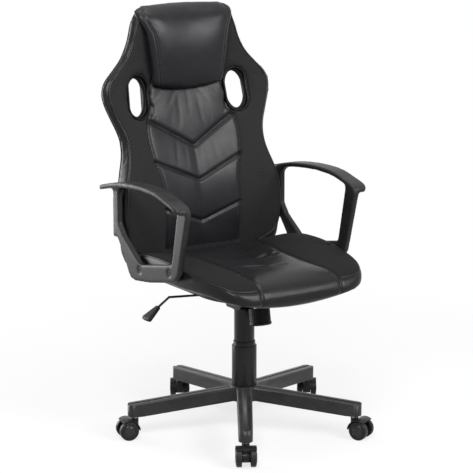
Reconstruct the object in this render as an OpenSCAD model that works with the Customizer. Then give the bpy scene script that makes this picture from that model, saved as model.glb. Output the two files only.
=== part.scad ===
// Gaming chair: a bucket seat and a shaped back on a gas column, with loop
// arms and a five-arm base on twin-wheel casters. Millimetres, +Z up, -Y is
// the front, +X is the chair's right as seen from the front, and the origin
// lies on the floor under the column's axis.

/* [Base] */
// Radius of the circle through the caster stems
stem_circle_r = 300; // [280:5:320]
// Width of a base arm where it leaves the hub
arm_w_hub = 41; // [39:1:44]
// Width of a base arm at its rounded end
arm_w_end = 36; // [34:1:38]
// Height of a base arm at the hub
hub_h = 39; // [36:1:43]
// Height of a base arm at its rounded end
arm_end_h = 33; // [30:1:36]
// How far the hub's underside stands above the arms' rounded ends
hub_rise = 17; // [14:1:20]
// Direction of the first base arm, turned from +X
first_arm_deg = -122.7; // [-130:0.1:-115]

/* [Casters] */
// Diameter of a caster wheel
wheel_d = 50; // [48:1:54]
// Width of one caster wheel
wheel_w = 14; // [12:1:15]
// Distance from the caster's stem to its axle
trail = 20; // [18:1:24]

/* [Column] */
// Outside diameter of the fixed gas tube
gas_tube_d = 50; // [48:1:52]
// Height of the lower cover above the hub
lower_cover_h = 108; // [96:2:112]
// How far the seat can sink from this height
sink = 85; // [60:5:85]

/* [Seat] */
// Height of the seat board's underside above the floor
seat_z = 389; // [385:1:397]
// Half of the seat's width
seat_half_w = 246; // [238:1:246]
// Height of the cushion's middle above the board's underside
seat_pad_h = 66; // [58:1:72]
// Height that the side bolsters rise above the cushion's middle
bolster_rise = 38; // [26:1:42]
// Radius of the seat board's crosswise bend
board_bend_r = 983; // [900:1:1100]

/* [Back] */
// Half of the back's width at the shoulders
shoulder_half_w = 254; // [246:1:258]
// Height of the back's top above the seat board
back_top = 707; // [690:1:720]
// How far the back's side wings reach forward of its middle
wing_reach = 28; // [22:1:32]
// Thickness of the back at its middle
back_depth = 38; // [36:1:44]

/* [Arms] */
// Thickness of the moulded arm's wall
arm_wall = 16; // [14:1:18]
// Width of the arm pad
arm_pad_w = 45; // [40:1:50]

/* [Hidden] */
$fn = 64;
soft_gap = 0.3;         // clearance between a soft solid and what it covers
run_gap = 0.05;         // radial clearance of a running fit
eps = 0.5;              // overrun of a cutting solid

// Base and casters
base_bottom = wheel_d + 10;
hub_bottom = base_bottom + hub_rise;
hub_top = hub_bottom + hub_h;
hub_r = arm_w_hub - 3;
arm_top_drop = hub_rise + hub_h - arm_end_h;
shell_t = 3.2;
stem_r = 5.5;
socket_depth = 24;
arm_turns = [for (k = [0:4]) first_arm_deg + 72 * k];
caster_turns = [-120, -64, 55, 57, 167];    // which way each caster trails
tread_gap = 23;                             // free width between the two wheels
axle_r = 3;

// Column
tube_r = gas_tube_d / 2;
tube_wall = 2;
tube_bottom = hub_bottom;
cover_wall = 1.6;
upper_cover_r = tube_r + 1.7;
middle_cover_r = upper_cover_r + 2;
lower_cover_r = middle_cover_r + 3.8;
lower_cover_top = hub_top + lower_cover_h;
tube_top = lower_cover_top + 1;
middle_cover_top = lower_cover_top + 12;
upper_cover_bottom = hub_top + sink + 2;
cylinder_r = 14;
cylinder_bottom = tube_bottom + sink + 15;
rod_r = 5;
bush_h = 65;

// Mechanism, heights above the seat board's underside
housing_half_w = 33;
housing_bottom = -64;
housing_top = -26;
tilt_axle_y = -30;
tilt_axle_h = -32;
tilt_axle_r = 6;
cylinder_top_h = -31;
button_rise = 2.6;              // clear of the lever when it is pulled out and lifted
plate_t = 3;
lip_h = -32;
lever_pivot_x = -42;
lever_r = 3;
lever_inner = [14, -24.1];
lever_bend = [-229, -5];
lever_grip = [-262, -27];
lever_tip = [-299, -55];
bolt_foot = [-77, -94];         // y and height of the tension bolt's lower end
bolt_lean = 10;
knob_r = 28;
knob_h = 44;

// Seat
board_t = 12;
board_half_w = seat_half_w - 28;
board_front = -205;
board_rear = 190;
plate_bolts = [82, 70];         // x and y of the seat plate's four bolts
rail_t = 12;
rail_top = 80;
rail_foot = board_bend_r - sqrt(pow(board_bend_r, 2) - pow(board_half_w, 2)) + 3;
arm_bolts = [[-56, 73], [90, 53]];      // y and height of the arm's bolts in the seat

// Outlines of the cushion along its middle: [y, height above the board's underside]
seat_top_line = [
    [-266, 23], [-262, 36], [-252, 49], [-232, seat_pad_h - 6], [-200, seat_pad_h - 1],
    [-120, seat_pad_h], [120, seat_pad_h + 1], [165, seat_pad_h - 1], [185, 57], [197, 43]
];
seat_under_line = [
    [-266, 13], [-262, 4], [-250, -4], [-228, -9], [-205, -9], [-170, -5], [-120, -3],
    [150, -2], [180, 3], [197, 13]
];
// How far the cushion's half-width falls short of its widest, along y
seat_side_line = [
    [-266, 106], [-262, 82], [-250, 55], [-230, 38], [-205, 26], [-175, 15], [-140, 7],
    [-100, 2], [-50, 0], [100, 0], [150, 2], [180, 14], [197, 38]
];
// Share of the bolster's full rise, along y
bolster_line = [
    [-266, 0], [-240, 0.1], [-205, 0.24], [-155, 0.42], [-110, 0.6], [-50, 0.83], [20, 1], [100, 0.85],
    [150, 0.62], [197, 0.38]
];
// How far the sides' lower edge lies above the middle's, along y
seat_edge_line = [
    [-266, 14], [-262, 26], [-250, 38], [-228, 43], [-190, 43], [-140, 37], [-60, 32], [0, 31],
    [197, 31]
];

// Front face of the back along its middle: [height above the board, y]
back_line = [
    [26, 214], [81, 207], [141, 201], [201, 204], [261, 217], [331, 242], [411, 269],
    [491, 287], [571, 298], [651, 305], [707, 310]
];
// Half-width of the back, as [height above the board, share of the shoulders' half-width]
back_side_line = [
    [29, 0.875], [51, 0.915], [98, 0.95], [151, 0.968], [211, 0.968], [244, 0.953], [282, 0.9],
    [309, 0.862], [333, 0.842], [362, 0.847], [388, 0.878], [416, 0.925], [451, 0.98],
    [477, 1], [500, 0.984], [520, 0.93], [550, 0.8], [575, 0.724], [601, 0.67], [627, 0.634],
    [653, 0.61], [672, 0.59], [690, 0.55], [700, 0.45], [707, 0.3]
];
// How far the back's rear face falls forward at its sides: [height above the board, drop]
back_drop_line = [
    [26, 24], [61, 9], [95, 4], [211, 9], [282, 12], [334, 21], [375, 30], [460, 37],
    [560, 36], [707, 30]
];
// How far the rear cover stands out past the cushion: [height above the board, flare]
rear_flare_line = [[28, 0], [240, 0], [330, 5], [470, 8], [560, 7], [707, 3]];
rear_cover_t = 14;
back_board_t = 8;
back_board_inset = 14;
back_steps = 22;                // number of facets across the back
back_lean = 12.5;               // lean of the back at the strap holes
strap_hole = [155, 465];        // x and height of the strap holes' centres
strap_hole_w = 72;
strap_hole_h = 123;
strap_trim_t = 5;
strap_hole_turn = 5;            // how far the holes' tops lean inwards
strap_hole_yaw = 7.5;           // how far the holes face the middle
strap_trim_depth = 27;
headrest_line = [               // half-width of the headrest pad: [height, half-width]
    [490, 104], [498, 109], [540, 116], [600, 124], [650, 131], [675, 135], [695, 128],
    [703, 104]
];
headrest_bulge = 30;
headrest_gap = 0.8;             // between the pad and the cushion, and five times this at the top
headrest_sag = 12;              // how far the headrest's lower edge hangs in its middle

// Arms: outlines in the y and height plane, height above the board's underside
arm_clear = 1.3;                // between an arm and the widest of the seat and the back beside it
arm_inner_x = max(seat_half_w, max([for (h = [40:20:280]) rear_half_w(h)])) + arm_clear;
arm_outer_x = arm_inner_x + arm_wall;
arm_top_line = [
    [-142, 247], [-119, 258], [-89, 266], [-40, 278], [19, 282], [69, 281], [160, 272],
    [254, 251]
];
arm_loop = [
    [-146, 247], [-107, 98], [-100, 73], [-86, 57], [-64, 49], [46, 27], [114, 19], [136, 22],
    [150, 38], [172, 78], [202, 114], [217, 134], [219, 170], [226, 247]
];
arm_window = [
    [-98, 244], [-68, 97], [-61, 95], [80, 68], [96, 74], [173, 127], [196, 156], [196, 240]
];
arm_pad_t = 13;
flange_t = 5;
flange_inner_x = 208;
flange_y = max([for (h = [112:12:220]) rear_y(h, flange_inner_x)]) + 2 * soft_gap;
back_bolts_h = [131, 201];      // heights of the bolts through the arm's rear flange
back_bolt_x = 220;
bolt_r = 4;

// ---------------------------------------------------------------- shared

// Slope of a [x, y] table at its i-th point
function slope_at(t, i) =
    let (a = max(i - 1, 0), b = min(i + 1, len(t) - 1))
    (t[b][1] - t[a][1]) / (t[b][0] - t[a][0]);

// Smooth curve through a [x, y] table, read at x
function curve_at(t, x) =
    let (
        i = max([0, for (k = [0:len(t) - 2]) if (t[k][0] <= x) k]),
        h = t[i + 1][0] - t[i][0],
        u = min(max((x - t[i][0]) / h, 0), 1),
        m0 = slope_at(t, i) * h,
        m1 = slope_at(t, i + 1) * h
    )
    t[i][1] * (1 + 2 * u) * pow(1 - u, 2) + m0 * u * pow(1 - u, 2)
    + t[i + 1][1] * pow(u, 2) * (3 - 2 * u) + m1 * pow(u, 2) * (u - 1);

// Fullness of a cushion at s, from 1 in the middle to nearly 0 at its edge (s = 1)
function fullness(s, n) = pow(max(1 - pow(abs(s), n), 1e-7), 1 / n);

// Places across a cushion, -1 to 1, closer together near the edges
function across(count) = [for (i = [0:count]) -cos(180 * i / count)];

// Solid through closed sections of the same even number of points. In each
// section point i faces point k - 1 - i.
module skin(sections) {
    k = len(sections[0]);
    n = len(sections);
    points = [for (s = sections) each s];
    sides = [
        for (r = [0:n - 2], i = [0:k - 1])
            let (a = r * k + i, b = r * k + (i + 1) % k)
            each [[a, b + k, b], [a, a + k, b + k]]
    ];
    first = [for (i = [0:k / 2 - 2]) each [[i, i + 1, k - 2 - i], [i, k - 2 - i, k - 1 - i]]];
    last = [for (f = first) [f[2], f[1], f[0]] + (n - 1) * k * [1, 1, 1]];
    polyhedron(points, concat(sides, first, last), convexity = 8);
}

// Section from a front face and a rear face, each read from one side to the other
function closed(front, rear) =
    concat(front, [for (i = [len(rear) - 1:-1:0]) rear[i]]);

// One soft solid, meshed as a whole
module soft() {
    minkowski() children();
}

module tube(r_out, r_in, h) {
    difference() {
        cylinder(r = r_out, h = h);
        translate([0, 0, -eps]) cylinder(r = r_in, h = h + 2 * eps);
    }
}

module on_seat() {
    translate([0, 0, seat_z]) children();
}

module both_sides() {
    children();
    mirror([1, 0, 0]) children();
}

// Draws its children along X, from x0 to x1, on outlines given as [y, height]
module along_x(x0, x1) {
    translate([x0, 0, 0]) rotate([90, 0, 90]) linear_extrude(x1 - x0) children();
}

// Round bar between two [x, height] points of the lever's plane
module lever_bar(a, b, r) {
    d = b - a;
    translate([a[0], 0, a[1]]) rotate([0, atan2(d[0], d[1]), 0]) cylinder(r = r, h = norm(d));
}

// ---------------------------------------------------------------- base

module arm_plan(inset) {
    end_r = arm_w_end / 2 - inset;
    polygon([
        [0, -arm_w_hub / 2 + inset], [stem_circle_r, -end_r],
        [stem_circle_r, end_r], [0, arm_w_hub / 2 - inset]
    ]);
    translate([stem_circle_r, 0]) circle(r = end_r);
}

// Cross-section of an arm with rounded shoulders, top at y = 0
module arm_section(inset) {
    w = arm_w_hub / 2 + 2 - inset;
    r = 9 - inset;
    difference() {
        union() {
            translate([-w + r, -r]) circle(r = r);
            translate([w - r, -r]) circle(r = r);
            translate([-w + r, -r]) square([2 * (w - r), r]);
            translate([-w, -hub_h - 40]) square([2 * w, hub_h + 40 - r]);
        }
        translate([-5, -1.2]) square([10, 3]);
    }
}

// Side outline of an arm, [distance from the column, height]
module arm_side(inset) {
    low = inset > 0 ? -3 : 1;
    end = stem_circle_r - arm_w_end / 2;
    reach = inset > 0 ? end + 2 : stem_circle_r + arm_w_end;
    polygon([
        [0, hub_bottom + low], [40, hub_bottom + low], [end, base_bottom + min(low, 0)],
        [reach, base_bottom + min(low, 0)], [reach, hub_top + 10], [0, hub_top + 10]
    ]);
}

module arm_body(inset) {
    reach = stem_circle_r + arm_w_end;
    intersection() {
        translate([0, 0, base_bottom - 5]) linear_extrude(hub_top) arm_plan(inset);
        translate([0, arm_w_hub, 0]) rotate([90, 0, 0]) linear_extrude(2 * arm_w_hub) arm_side(inset);
        translate([0, 0, hub_top - inset])
            rotate([0, atan(arm_top_drop / stem_circle_r), 0])
            translate([-10, 0, 0]) rotate([90, 0, 90]) linear_extrude(reach + 20) arm_section(inset);
    }
}

module arm_ribs() {
    for (i = [0:4])
        translate([80 + 44 * i, -arm_w_hub / 2 + shell_t / 2, hub_bottom + 3 - 4 * i])
            cube([2.4, arm_w_hub - shell_t, 30]);
}

module five_star_base() {
    color("#2b2b2c") difference() {
        union() {
            for (turn = arm_turns) rotate([0, 0, turn]) {
                difference() {
                    arm_body(0);
                    arm_body(shell_t);
                }
                intersection() {
                    arm_body(1);
                    arm_ribs();
                }
            }
            translate([0, 0, hub_bottom]) cylinder(r = hub_r, h = hub_h);
        }
        translate([0, 0, base_bottom - eps]) cylinder(r = tube_r, h = hub_top);
        for (turn = arm_turns) rotate([0, 0, turn])
            translate([stem_circle_r, 0, base_bottom - eps])
                cylinder(r = stem_r + run_gap, h = socket_depth + eps);
    }
}

// ---------------------------------------------------------------- column

module gas_tube() {
    color("#38393b") {
        translate([0, 0, tube_bottom + 3]) tube(tube_r, tube_r - tube_wall, tube_top - tube_bottom - 3);
        translate([0, 0, tube_bottom]) tube(tube_r, rod_r + run_gap, 3);
    }
}

module guide_bush() {
    color("#5a5b5c") translate([0, 0, tube_top - bush_h])
        tube(tube_r - tube_wall, cylinder_r + run_gap, bush_h);
}

module lower_cover() {
    color("#2f3031") translate([0, 0, hub_top]) {
        tube(lower_cover_r, lower_cover_r - cover_wall - 1, lower_cover_h);
        translate([0, 0, lower_cover_h - 2]) tube(lower_cover_r - 1, middle_cover_r + soft_gap, 2);
    }
}

module middle_cover() {
    color("#262727") translate([0, 0, hub_top])
        tube(middle_cover_r, middle_cover_r - cover_wall, middle_cover_top - hub_top);
}

module piston_rod() {
    piston_top = seat_z + cylinder_top_h - sink - 14;
    color("#b8babd") {
        translate([0, 0, tube_bottom - 5]) cylinder(r = rod_r, h = piston_top - tube_bottom + 5);
        translate([0, 0, tube_bottom + 10]) cylinder(r = 9, h = 2);
        translate([0, 0, piston_top - 10]) cylinder(r = cylinder_r - 2 - run_gap, h = 10);
    }
}

module thrust_bearing() {
    color("#8d8f92") translate([0, 0, tube_bottom + 3]) tube(14, rod_r, 7);
}

module retaining_clip() {
    color("#77797c") translate([0, 0, tube_bottom - 2.2]) tube(9, rod_r, 2);
}

// ---------------------------------------------------------------- mechanism

module gas_cylinder() {
    top = seat_z + cylinder_top_h;
    color("#b8babd") difference() {
        translate([0, 0, cylinder_bottom]) cylinder(r = cylinder_r, h = top - cylinder_bottom);
        translate([0, 0, cylinder_bottom + 6]) cylinder(r = cylinder_r - 2, h = top - cylinder_bottom - 16);
        translate([0, 0, cylinder_bottom - eps]) cylinder(r = rod_r + run_gap, h = 8);
        translate([0, 0, top - 11]) cylinder(r = 4 + run_gap, h = 12);
    }
}

module release_button() {
    color("#9c9ea1") on_seat() translate([0, 0, cylinder_top_h - 5]) cylinder(r = 4, h = 5 + button_rise);
}

module upper_cover() {
    h = seat_z + housing_bottom - upper_cover_bottom;
    color("#303132") translate([0, 0, upper_cover_bottom]) {
        tube(upper_cover_r, tube_r + soft_gap, h);
        translate([0, 0, h - 2.5]) tube(upper_cover_r + 4, tube_r + soft_gap, 2.5);
    }
}

module housing_side() {
    ear_top = tilt_axle_h + tilt_axle_r + 5;
    polygon([
        [-40, -40], [-40, ear_top - 3], [-42, ear_top], [-19, ear_top], [-14, housing_top],
        [50, housing_top], [50, -44],
        [34, housing_bottom], [-24, housing_bottom]
    ]);
}

module tilt_housing() {
    w = housing_half_w;
    color("#1d1e1f") on_seat() difference() {
        union() {
            difference() {
                along_x(-w, w) housing_side();
                translate([-w + 3, -37, housing_bottom + 4]) cube([2 * w - 6, 84, 60]);
            }
            translate([0, 0, housing_bottom]) cylinder(r = 21, h = 26);
            translate([-22, -88, lip_h]) cube([44, 50, plate_t]);
            translate([0, -66, lip_h]) cylinder(r = 17, h = plate_t);
            for (y = [-10, 6.8]) translate([-w - 20, y, -34]) cube([21, 3.2, 16]);
            translate([-w - 20, -10, -37]) cube([21, 20, 3]);
        }
        translate([0, 0, housing_bottom - eps]) cylinder(r = cylinder_r, h = 28);
        translate([-w - 1, tilt_axle_y, tilt_axle_h]) rotate([0, 90, 0])
            cylinder(r = tilt_axle_r, h = 2 * w + 2);
        for (y = [-69, -63]) translate([0, y, lip_h - eps]) cylinder(r = bolt_r + 1.5, h = plate_t + 1);
        translate([-bolt_r - 1.5, -69, lip_h - eps]) cube([2 * bolt_r + 3, 6, plate_t + 1]);
        translate([-w - 1, -6.5, housing_top - 6]) cube([5, 13, 8]);
    }
}

module tilt_axle() {
    color("#8d8f92") on_seat() translate([-44, tilt_axle_y, tilt_axle_h]) rotate([0, 90, 0]) {
        cylinder(r = tilt_axle_r, h = 88);
        translate([0, 0, 1]) cylinder(r = 8.5, h = 2);
        translate([0, 0, 85]) cylinder(r = 8.5, h = 2);
    }
}

// Frame of the tension bolt: its axis along +Z, its lower end at the origin
module on_bolt() {
    on_seat() translate([0, bolt_foot[0], bolt_foot[1]]) rotate([-bolt_lean, 0, 0]) children();
}

module tension_spring() {
    turns = 5;
    steps = 12;
    coil_r = 13;
    wire_r = 2.2;
    z0 = 15.5;
    z1 = 57.3;
    sections = [
        for (i = [0:turns * steps])
            let (a = 360 * i / steps, z = z0 + (z1 - z0) * i / (turns * steps))
            [for (j = [0:5]) let (b = 60 * j, r = coil_r + wire_r * cos(b))
                [r * cos(a), r * sin(a), z + wire_r * sin(b)]]
    ];
    color("#8d8f92") on_bolt() mirror([0, 1, 0]) skin(sections);
}

module lever_bush() {
    color("#3b3c3e") on_seat() difference() {
        translate([-51, -6.6, -34]) cube([16, 13.2, 19]);
        translate([-52, -3.6, -29]) cube([18, 7.2, 20]);
        translate([lever_pivot_x, -8, lever_height(lever_pivot_x)]) rotate([-90, 0, 0])
            cylinder(r = 1.6 + run_gap, h = 16);
    }
}

function lever_height(x) =
    lever_inner[1] + (lever_bend[1] - lever_inner[1]) * (lever_inner[0] - x) / (lever_inner[0] - lever_bend[0]);

module lever_rod() {
    grip_dir = (lever_tip - lever_grip) / norm(lever_tip - lever_grip);
    color("#1b1b1c") on_seat() {
        lever_bar(lever_inner, lever_bend, lever_r);
        translate([lever_bend[0], 0, lever_bend[1]]) sphere(r = lever_r + 0.2);
        lever_bar(lever_bend, lever_grip, lever_r);
        translate([lever_grip[0], 0, lever_grip[1]]) sphere(r = lever_r + 0.2);
        lever_bar(lever_grip, lever_grip + 14 * grip_dir, lever_r);
        translate([lever_pivot_x, -6.4, lever_height(lever_pivot_x)]) rotate([-90, 0, 0])
            cylinder(r = 1.6, h = 12.8);
    }
}

module lever_handle() {
    d = lever_tip - lever_grip;
    color("#222324") on_seat() translate([lever_grip[0], 0, lever_grip[1]])
        rotate([0, atan2(d[0], d[1]), 0]) difference() {
            hull() {
                for (y = [-4, 4]) translate([0, y, 2]) sphere(r = 5, $fn = 16);
                for (y = [-13, 13]) translate([0, y, norm(d) - 6]) sphere(r = 6, $fn = 16);
                translate([0, 0, norm(d) - 5]) sphere(r = 6, $fn = 16);
            }
            translate([0, 0, -5]) cylinder(r = lever_r + 0.2, h = 19);
        }
}

// ---------------------------------------------------------------- seat plate and tension

module wing_plan() {
    polygon([
        [-39, -88], [39, -88], [62, -86], [98, -84], [98, -56], [60, -44], [42, -18], [42, 18],
        [60, 46], [98, 56], [98, 84], [60, 84], [-60, 84], [-98, 84], [-98, 56], [-60, 46],
        [-42, 18], [-42, -18], [-60, -44], [-98, -56], [-98, -84], [-62, -86]
    ]);
}

module seat_plate() {
    color("#1d1e1f") on_seat() difference() {
        union() {
            translate([0, 0, -plate_t]) linear_extrude(plate_t) wing_plan();
            both_sides() along_x(housing_half_w + 3, housing_half_w + 6) polygon([
                [-46, -plate_t], [-42, -42], [-18, -42], [-12, -plate_t]
            ]);
        }
        translate([-60, tilt_axle_y, tilt_axle_h]) rotate([0, 90, 0])
            cylinder(r = tilt_axle_r + run_gap, h = 120);
        for (x = [-1, 1], y = [-1, 1]) translate([x * plate_bolts[0], y * plate_bolts[1], -plate_t - eps])
            cylinder(r = bolt_r - 1 + 0.3, h = plate_t + 1);
    }
}

module tension_bolt() {
    color("#77797c") intersection() {
        on_bolt() union() {
            translate([0, 0, 4]) cylinder(r = bolt_r, h = 100);
            translate([0, 0, 76]) cylinder(r = 8, h = 30);
        }
        on_seat() translate([-30, -120, -120]) cube([60, 100, 120 - plate_t]);
    }
}

module thrust_washer() {
    color("#8d8f92") on_bolt() translate([0, 0, 10]) tube(19, bolt_r + run_gap, 3);
}

module tension_knob() {
    color("#1a1a1b") on_bolt() difference() {
        union() {
            translate([0, 0, 8]) linear_extrude(knob_h - 8) difference() {
                circle(r = knob_r - 0.5);
                for (a = [0:15:345]) rotate(a) translate([knob_r + 0.6, 0]) circle(r = 2.2, $fn = 24);
            }
            rotate_extrude() polygon([
                [0, 2], [6, 0], [knob_r - 1, 0], [knob_r + 1, 2], [knob_r + 1, 6],
                [knob_r - 1, 9], [0, 9]
            ]);
        }
        translate([0, 0, 10]) cylinder(r = 21, h = knob_h);
        translate([0, 0, -eps]) cylinder(r = bolt_r + run_gap, h = 12);
    }
}

// ---------------------------------------------------------------- seat

module board_plan(grow) {
    w = board_half_w + grow;
    f = board_front - grow;
    b = board_rear + grow;
    r = 60;
    polygon([[-w, f + r], [-w + r, f], [w - r, f], [w, f + r], [w, b - 50], [w - 40, b - 24],
        [70, b], [-70, b], [-w + 40, b - 24], [-w, b - 50]]);
    for (x = [-1, 1]) translate([x * (w - r), f + r]) circle(r = r);
}

// Bent panel between two heights over the board's underside
module bent_panel(h0, h1, grow) {
    intersection() {
        translate([0, 300, board_bend_r]) rotate([90, 0, 0])
            difference() {
                cylinder(r = board_bend_r - h0, h = 600, $fn = 120);
                translate([0, 0, -eps]) cylinder(r = board_bend_r - h1, h = 602, $fn = 120);
            }
        translate([0, 0, -30]) linear_extrude(120) board_plan(grow);
    }
}

module seat_board() {
    color("#a98658") on_seat() difference() {
        union() {
            bent_panel(0, board_t, 0);
            translate([-105, -92, 0]) cube([210, 184, board_t - 2]);
            both_sides() translate([board_half_w - rail_t, -78, rail_foot]) cube([rail_t, 190, rail_top - rail_foot]);
        }
        for (x = [-1, 1], y = [-1, 1]) translate([x * plate_bolts[0], y * plate_bolts[1], -eps])
            cylinder(r = bolt_r - 1, h = 10);
        both_sides() for (b = arm_bolts) translate([board_half_w - 30, b[0], b[1]]) rotate([0, 90, 0])
            cylinder(r = bolt_r, h = 40);
    }
}

module seat_bolts() {
    color("#77797c") on_seat() for (x = [-1, 1], y = [-1, 1])
        translate([x * plate_bolts[0], y * plate_bolts[1], 0]) {
            translate([0, 0, -plate_t]) cylinder(r = bolt_r - 1, h = 12);
            translate([0, 0, -plate_t - 4]) cylinder(r = 5.5, h = 4, $fn = 6);
        }
}

module seat_underside_cover() {
    color("#161616") on_seat() difference() {
        bent_panel(-1.8, -0.3, 0);
        translate([-107, -94, -20]) cube([214, 188, 80]);
    }
}

function seat_point(y, s, upper) =
    let (
        w = seat_half_w - curve_at(seat_side_line, y),
        x = w * s,
        side = x / seat_half_w,
        top = curve_at(seat_top_line, y)
            + bolster_rise * curve_at(bolster_line, y) * pow(abs(side), 2.2),
        low = curve_at(seat_under_line, y) + curve_at(seat_edge_line, y) * pow(side, 2),
        sign = upper ? 1 : -1,
        h = (top + low) / 2 + sign * (top - low) / 2 * fullness(s, 7)
    )
    [x, y - (wing_reach - 2) * pow(side, 2) * pow(max(y, 0) / 197, 2), h];

module seat_cushion() {
    steps = across(22);
    rows = [
        -266, -264, -260, -254, -246, -234, -218, -200, -182, -160, -130, -95, -60, -20, 20,
        60, 100, 130, 155, 172, 184, 192, 197
    ];
    sections = [
        for (y = rows) closed(
            [for (s = steps) seat_point(y, -s, false)],
            [for (s = steps) seat_point(y, -s, true)]
        )
    ];
    color("#2a2a2c") on_seat() soft() difference() {
        skin(sections);
        bent_panel(-60, board_t + soft_gap, soft_gap);
        both_sides() translate([board_half_w - rail_t - soft_gap, -78 - soft_gap, 10])
            cube([rail_t + 3 * soft_gap, 190 + 2 * soft_gap, rail_top - 10 + soft_gap]);
        both_sides() for (b = arm_bolts) translate([board_half_w, b[0], b[1]]) rotate([0, 90, 0])
            cylinder(r = 11.4, h = 60, $fn = 32);
    }
}

// ---------------------------------------------------------------- back

// The back's faces at a height h over the board and x across it
function line_h(h) = h * 707 / back_top;
function back_half_w(h) = shoulder_half_w * curve_at(back_side_line, line_h(h));
function front_y(h, x) =
    curve_at(back_line, line_h(h)) - wing_reach * pow(x / back_half_w(h), 2);
function rear_y(h, x) =
    curve_at(back_line, line_h(h)) + back_depth
    - curve_at(back_drop_line, line_h(h)) * pow(x / back_half_w(h), 2);
function cover_y(h, x) = rear_y(h, x) - rear_cover_t;
function back_fullness(h, x) =
    fullness(x / back_half_w(h), 8) * fullness((line_h(h) - 367) / 341, 12);
function rear_half_w(h) = back_half_w(h) + curve_at(rear_flare_line, line_h(h));
function pad_y(h, x) = cover_y(h, x) - (cover_y(h, x) - front_y(h, x)) * back_fullness(h, x);

// Heights of the back's sections: closer together where its outline curves
back_rows = [
    28, 30, 34, 42, 55, 75, 100, 130, 160, 190, 215, 240, 265, 290, 310, 335, 360, 385, 410,
    435, 460, 480, 500, 520, 540, 560, 580, 605, 630, 655, 675, 690, 699, 704, 707
];
function rows_between(low, high) =
    concat([low], [for (h = back_rows) if (h > low + 2 && h < high - 2) h], [high]);

module back_cushion() {
    steps = across(back_steps);
    sections = [
        for (r = back_rows)
            let (h = r * back_top / 707, w = back_half_w(h))
            closed(
                [for (s = steps) [w * s, pad_y(h, w * s), h]],
                [for (s = steps) [w * s, cover_y(h, w * s), h]]
            )
    ];
    color("#2a2a2c") on_seat() soft() difference() {
        skin(sections);
        both_sides() strap_hole(soft_gap, 120, $fn = 32);
    }
}

// Layer of the back board, with its front face moved `ahead`
module board_layer(grow, ahead) {
    steps = across(back_steps);
    inner = [for (i = [4:back_steps - 4]) steps[i]];
    sections = [
        for (r = rows_between(44 - grow, 682 + grow))
            let (
                h = r * back_top / 707,
                w = back_half_w(h),
                end = 1 - (back_board_inset - grow) / w,
                cuts = [-end, each inner, end]
            )
            closed(
                [for (s = cuts) [w * s, cover_y(h, w * s) + 2 * soft_gap - ahead, h]],
                [for (s = cuts) [w * s, cover_y(h, w * s) + soft_gap + back_board_t + grow, h]]
            )
    ];
    skin(sections);
}

module back_board() {
    color("#a98658") on_seat() soft() difference() {
        board_layer(0, 0);
        both_sides() strap_hole(soft_gap, 120, $fn = 32);
        both_sides() for (h = back_bolts_h) translate([back_bolt_x, 300, h]) rotate([90, 0, 0])
            cylinder(r = bolt_r + soft_gap, h = 160, $fn = 24);
    }
}

module back_rear_cover() {
    steps = across(back_steps);
    sections = [
        for (r = back_rows)
            let (
                h = r * back_top / 707,
                w = back_half_w(h),
                flare = rear_half_w(h) / w
            )
            closed(
                [for (s = steps) [w * s * flare, cover_y(h, w * s) + soft_gap, h]],
                [for (s = steps) [
                    w * s * flare,
                    cover_y(h, w * s) + soft_gap + (rear_cover_t - soft_gap) * back_fullness(h, w * s),
                    h
                ]]
            )
    ];
    color("#1e1e1f") on_seat() soft() difference() {
        skin(sections);
        board_layer(soft_gap, 4);
        both_sides() strap_hole(soft_gap, 120, $fn = 32);
        both_sides() for (h = back_bolts_h) translate([back_bolt_x, 300, h]) rotate([90, 0, 0])
            cylinder(r = bolt_r + soft_gap, h = 160, $fn = 24);
    }
}

module headrest_pad() {
    steps = across(20);
    low = headrest_line[0][0];
    high = headrest_line[len(headrest_line) - 1][0];
    rows = [0, 0.01, 0.04, 0.1, 0.2, 0.32, 0.45, 0.58, 0.7, 0.82, 0.9, 0.939, 0.96, 0.9812, 0.99, 1];
    sections = [
        for (r = rows)
            let (
                q = low + (high - low) * r,
                w = curve_at(headrest_line, q),
                full = headrest_bulge * fullness(2 * r - 1, 4)
            )
            closed(
                [for (s = steps) headrest_point(q, r, s, w, full)],
                [for (s = steps) headrest_point(q, r, s, w, 0)]
            )
    ];
    color("#343436") on_seat() soft() skin(sections);
}

// Place on the headrest pad: s across it, r up it, `full` in front of the cushion
function headrest_point(q, r, s, w, full) =
    let (h = (q - headrest_sag * (1 - s * s) * (1 - r)) * back_top / 707)
    [w * s, pad_y(h, w * s) - headrest_gap * (1 + 4 * pow(r, 12)) - full * fullness(s, 4), h];

module oval(w, h) {
    r = w / 2;
    for (y = [-1, 1]) translate([0, y * (h / 2 - r)]) circle(r = r);
    translate([-r, -h / 2 + r]) square([w, h - w]);
}

// Prism of the strap hole's outline, square to the leaning back
module strap_hole(grow, depth) {
    x = strap_hole[0];
    h = strap_hole[1] * back_top / 707;
    translate([x, (front_y(h, x) + rear_y(h, x)) / 2, h])
        rotate([-90 - back_lean, 0, -strap_hole_yaw])
        rotate([0, 0, -strap_hole_turn]) translate([0, 0, -depth / 2]) linear_extrude(depth)
            oval(strap_hole_w + 2 * grow, strap_hole_h + 2 * grow);
}

module strap_trim() {
    color("#3a3a3c") on_seat() difference() {
        strap_hole(0, strap_trim_depth + 9);
        strap_hole(-strap_trim_t, 60);
    }
}

module strap_trim_left() {
    strap_trim();
}

module strap_trim_right() {
    mirror([1, 0, 0]) strap_trim();
}

// ---------------------------------------------------------------- arms

module arm_plate_outline() {
    ys = [214:-12:-142];
    top = [for (y = ys) [y, curve_at(arm_top_line, y) - 5]];
    difference() {
        offset(r = 12) offset(delta = -12) polygon(concat(arm_loop, top));
        offset(r = 9) offset(delta = -9) polygon(concat(arm_window,
            [for (y = [180:-12:-98]) [y, curve_at(arm_top_line, y) - arm_pad_t]]));
    }
}

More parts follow.
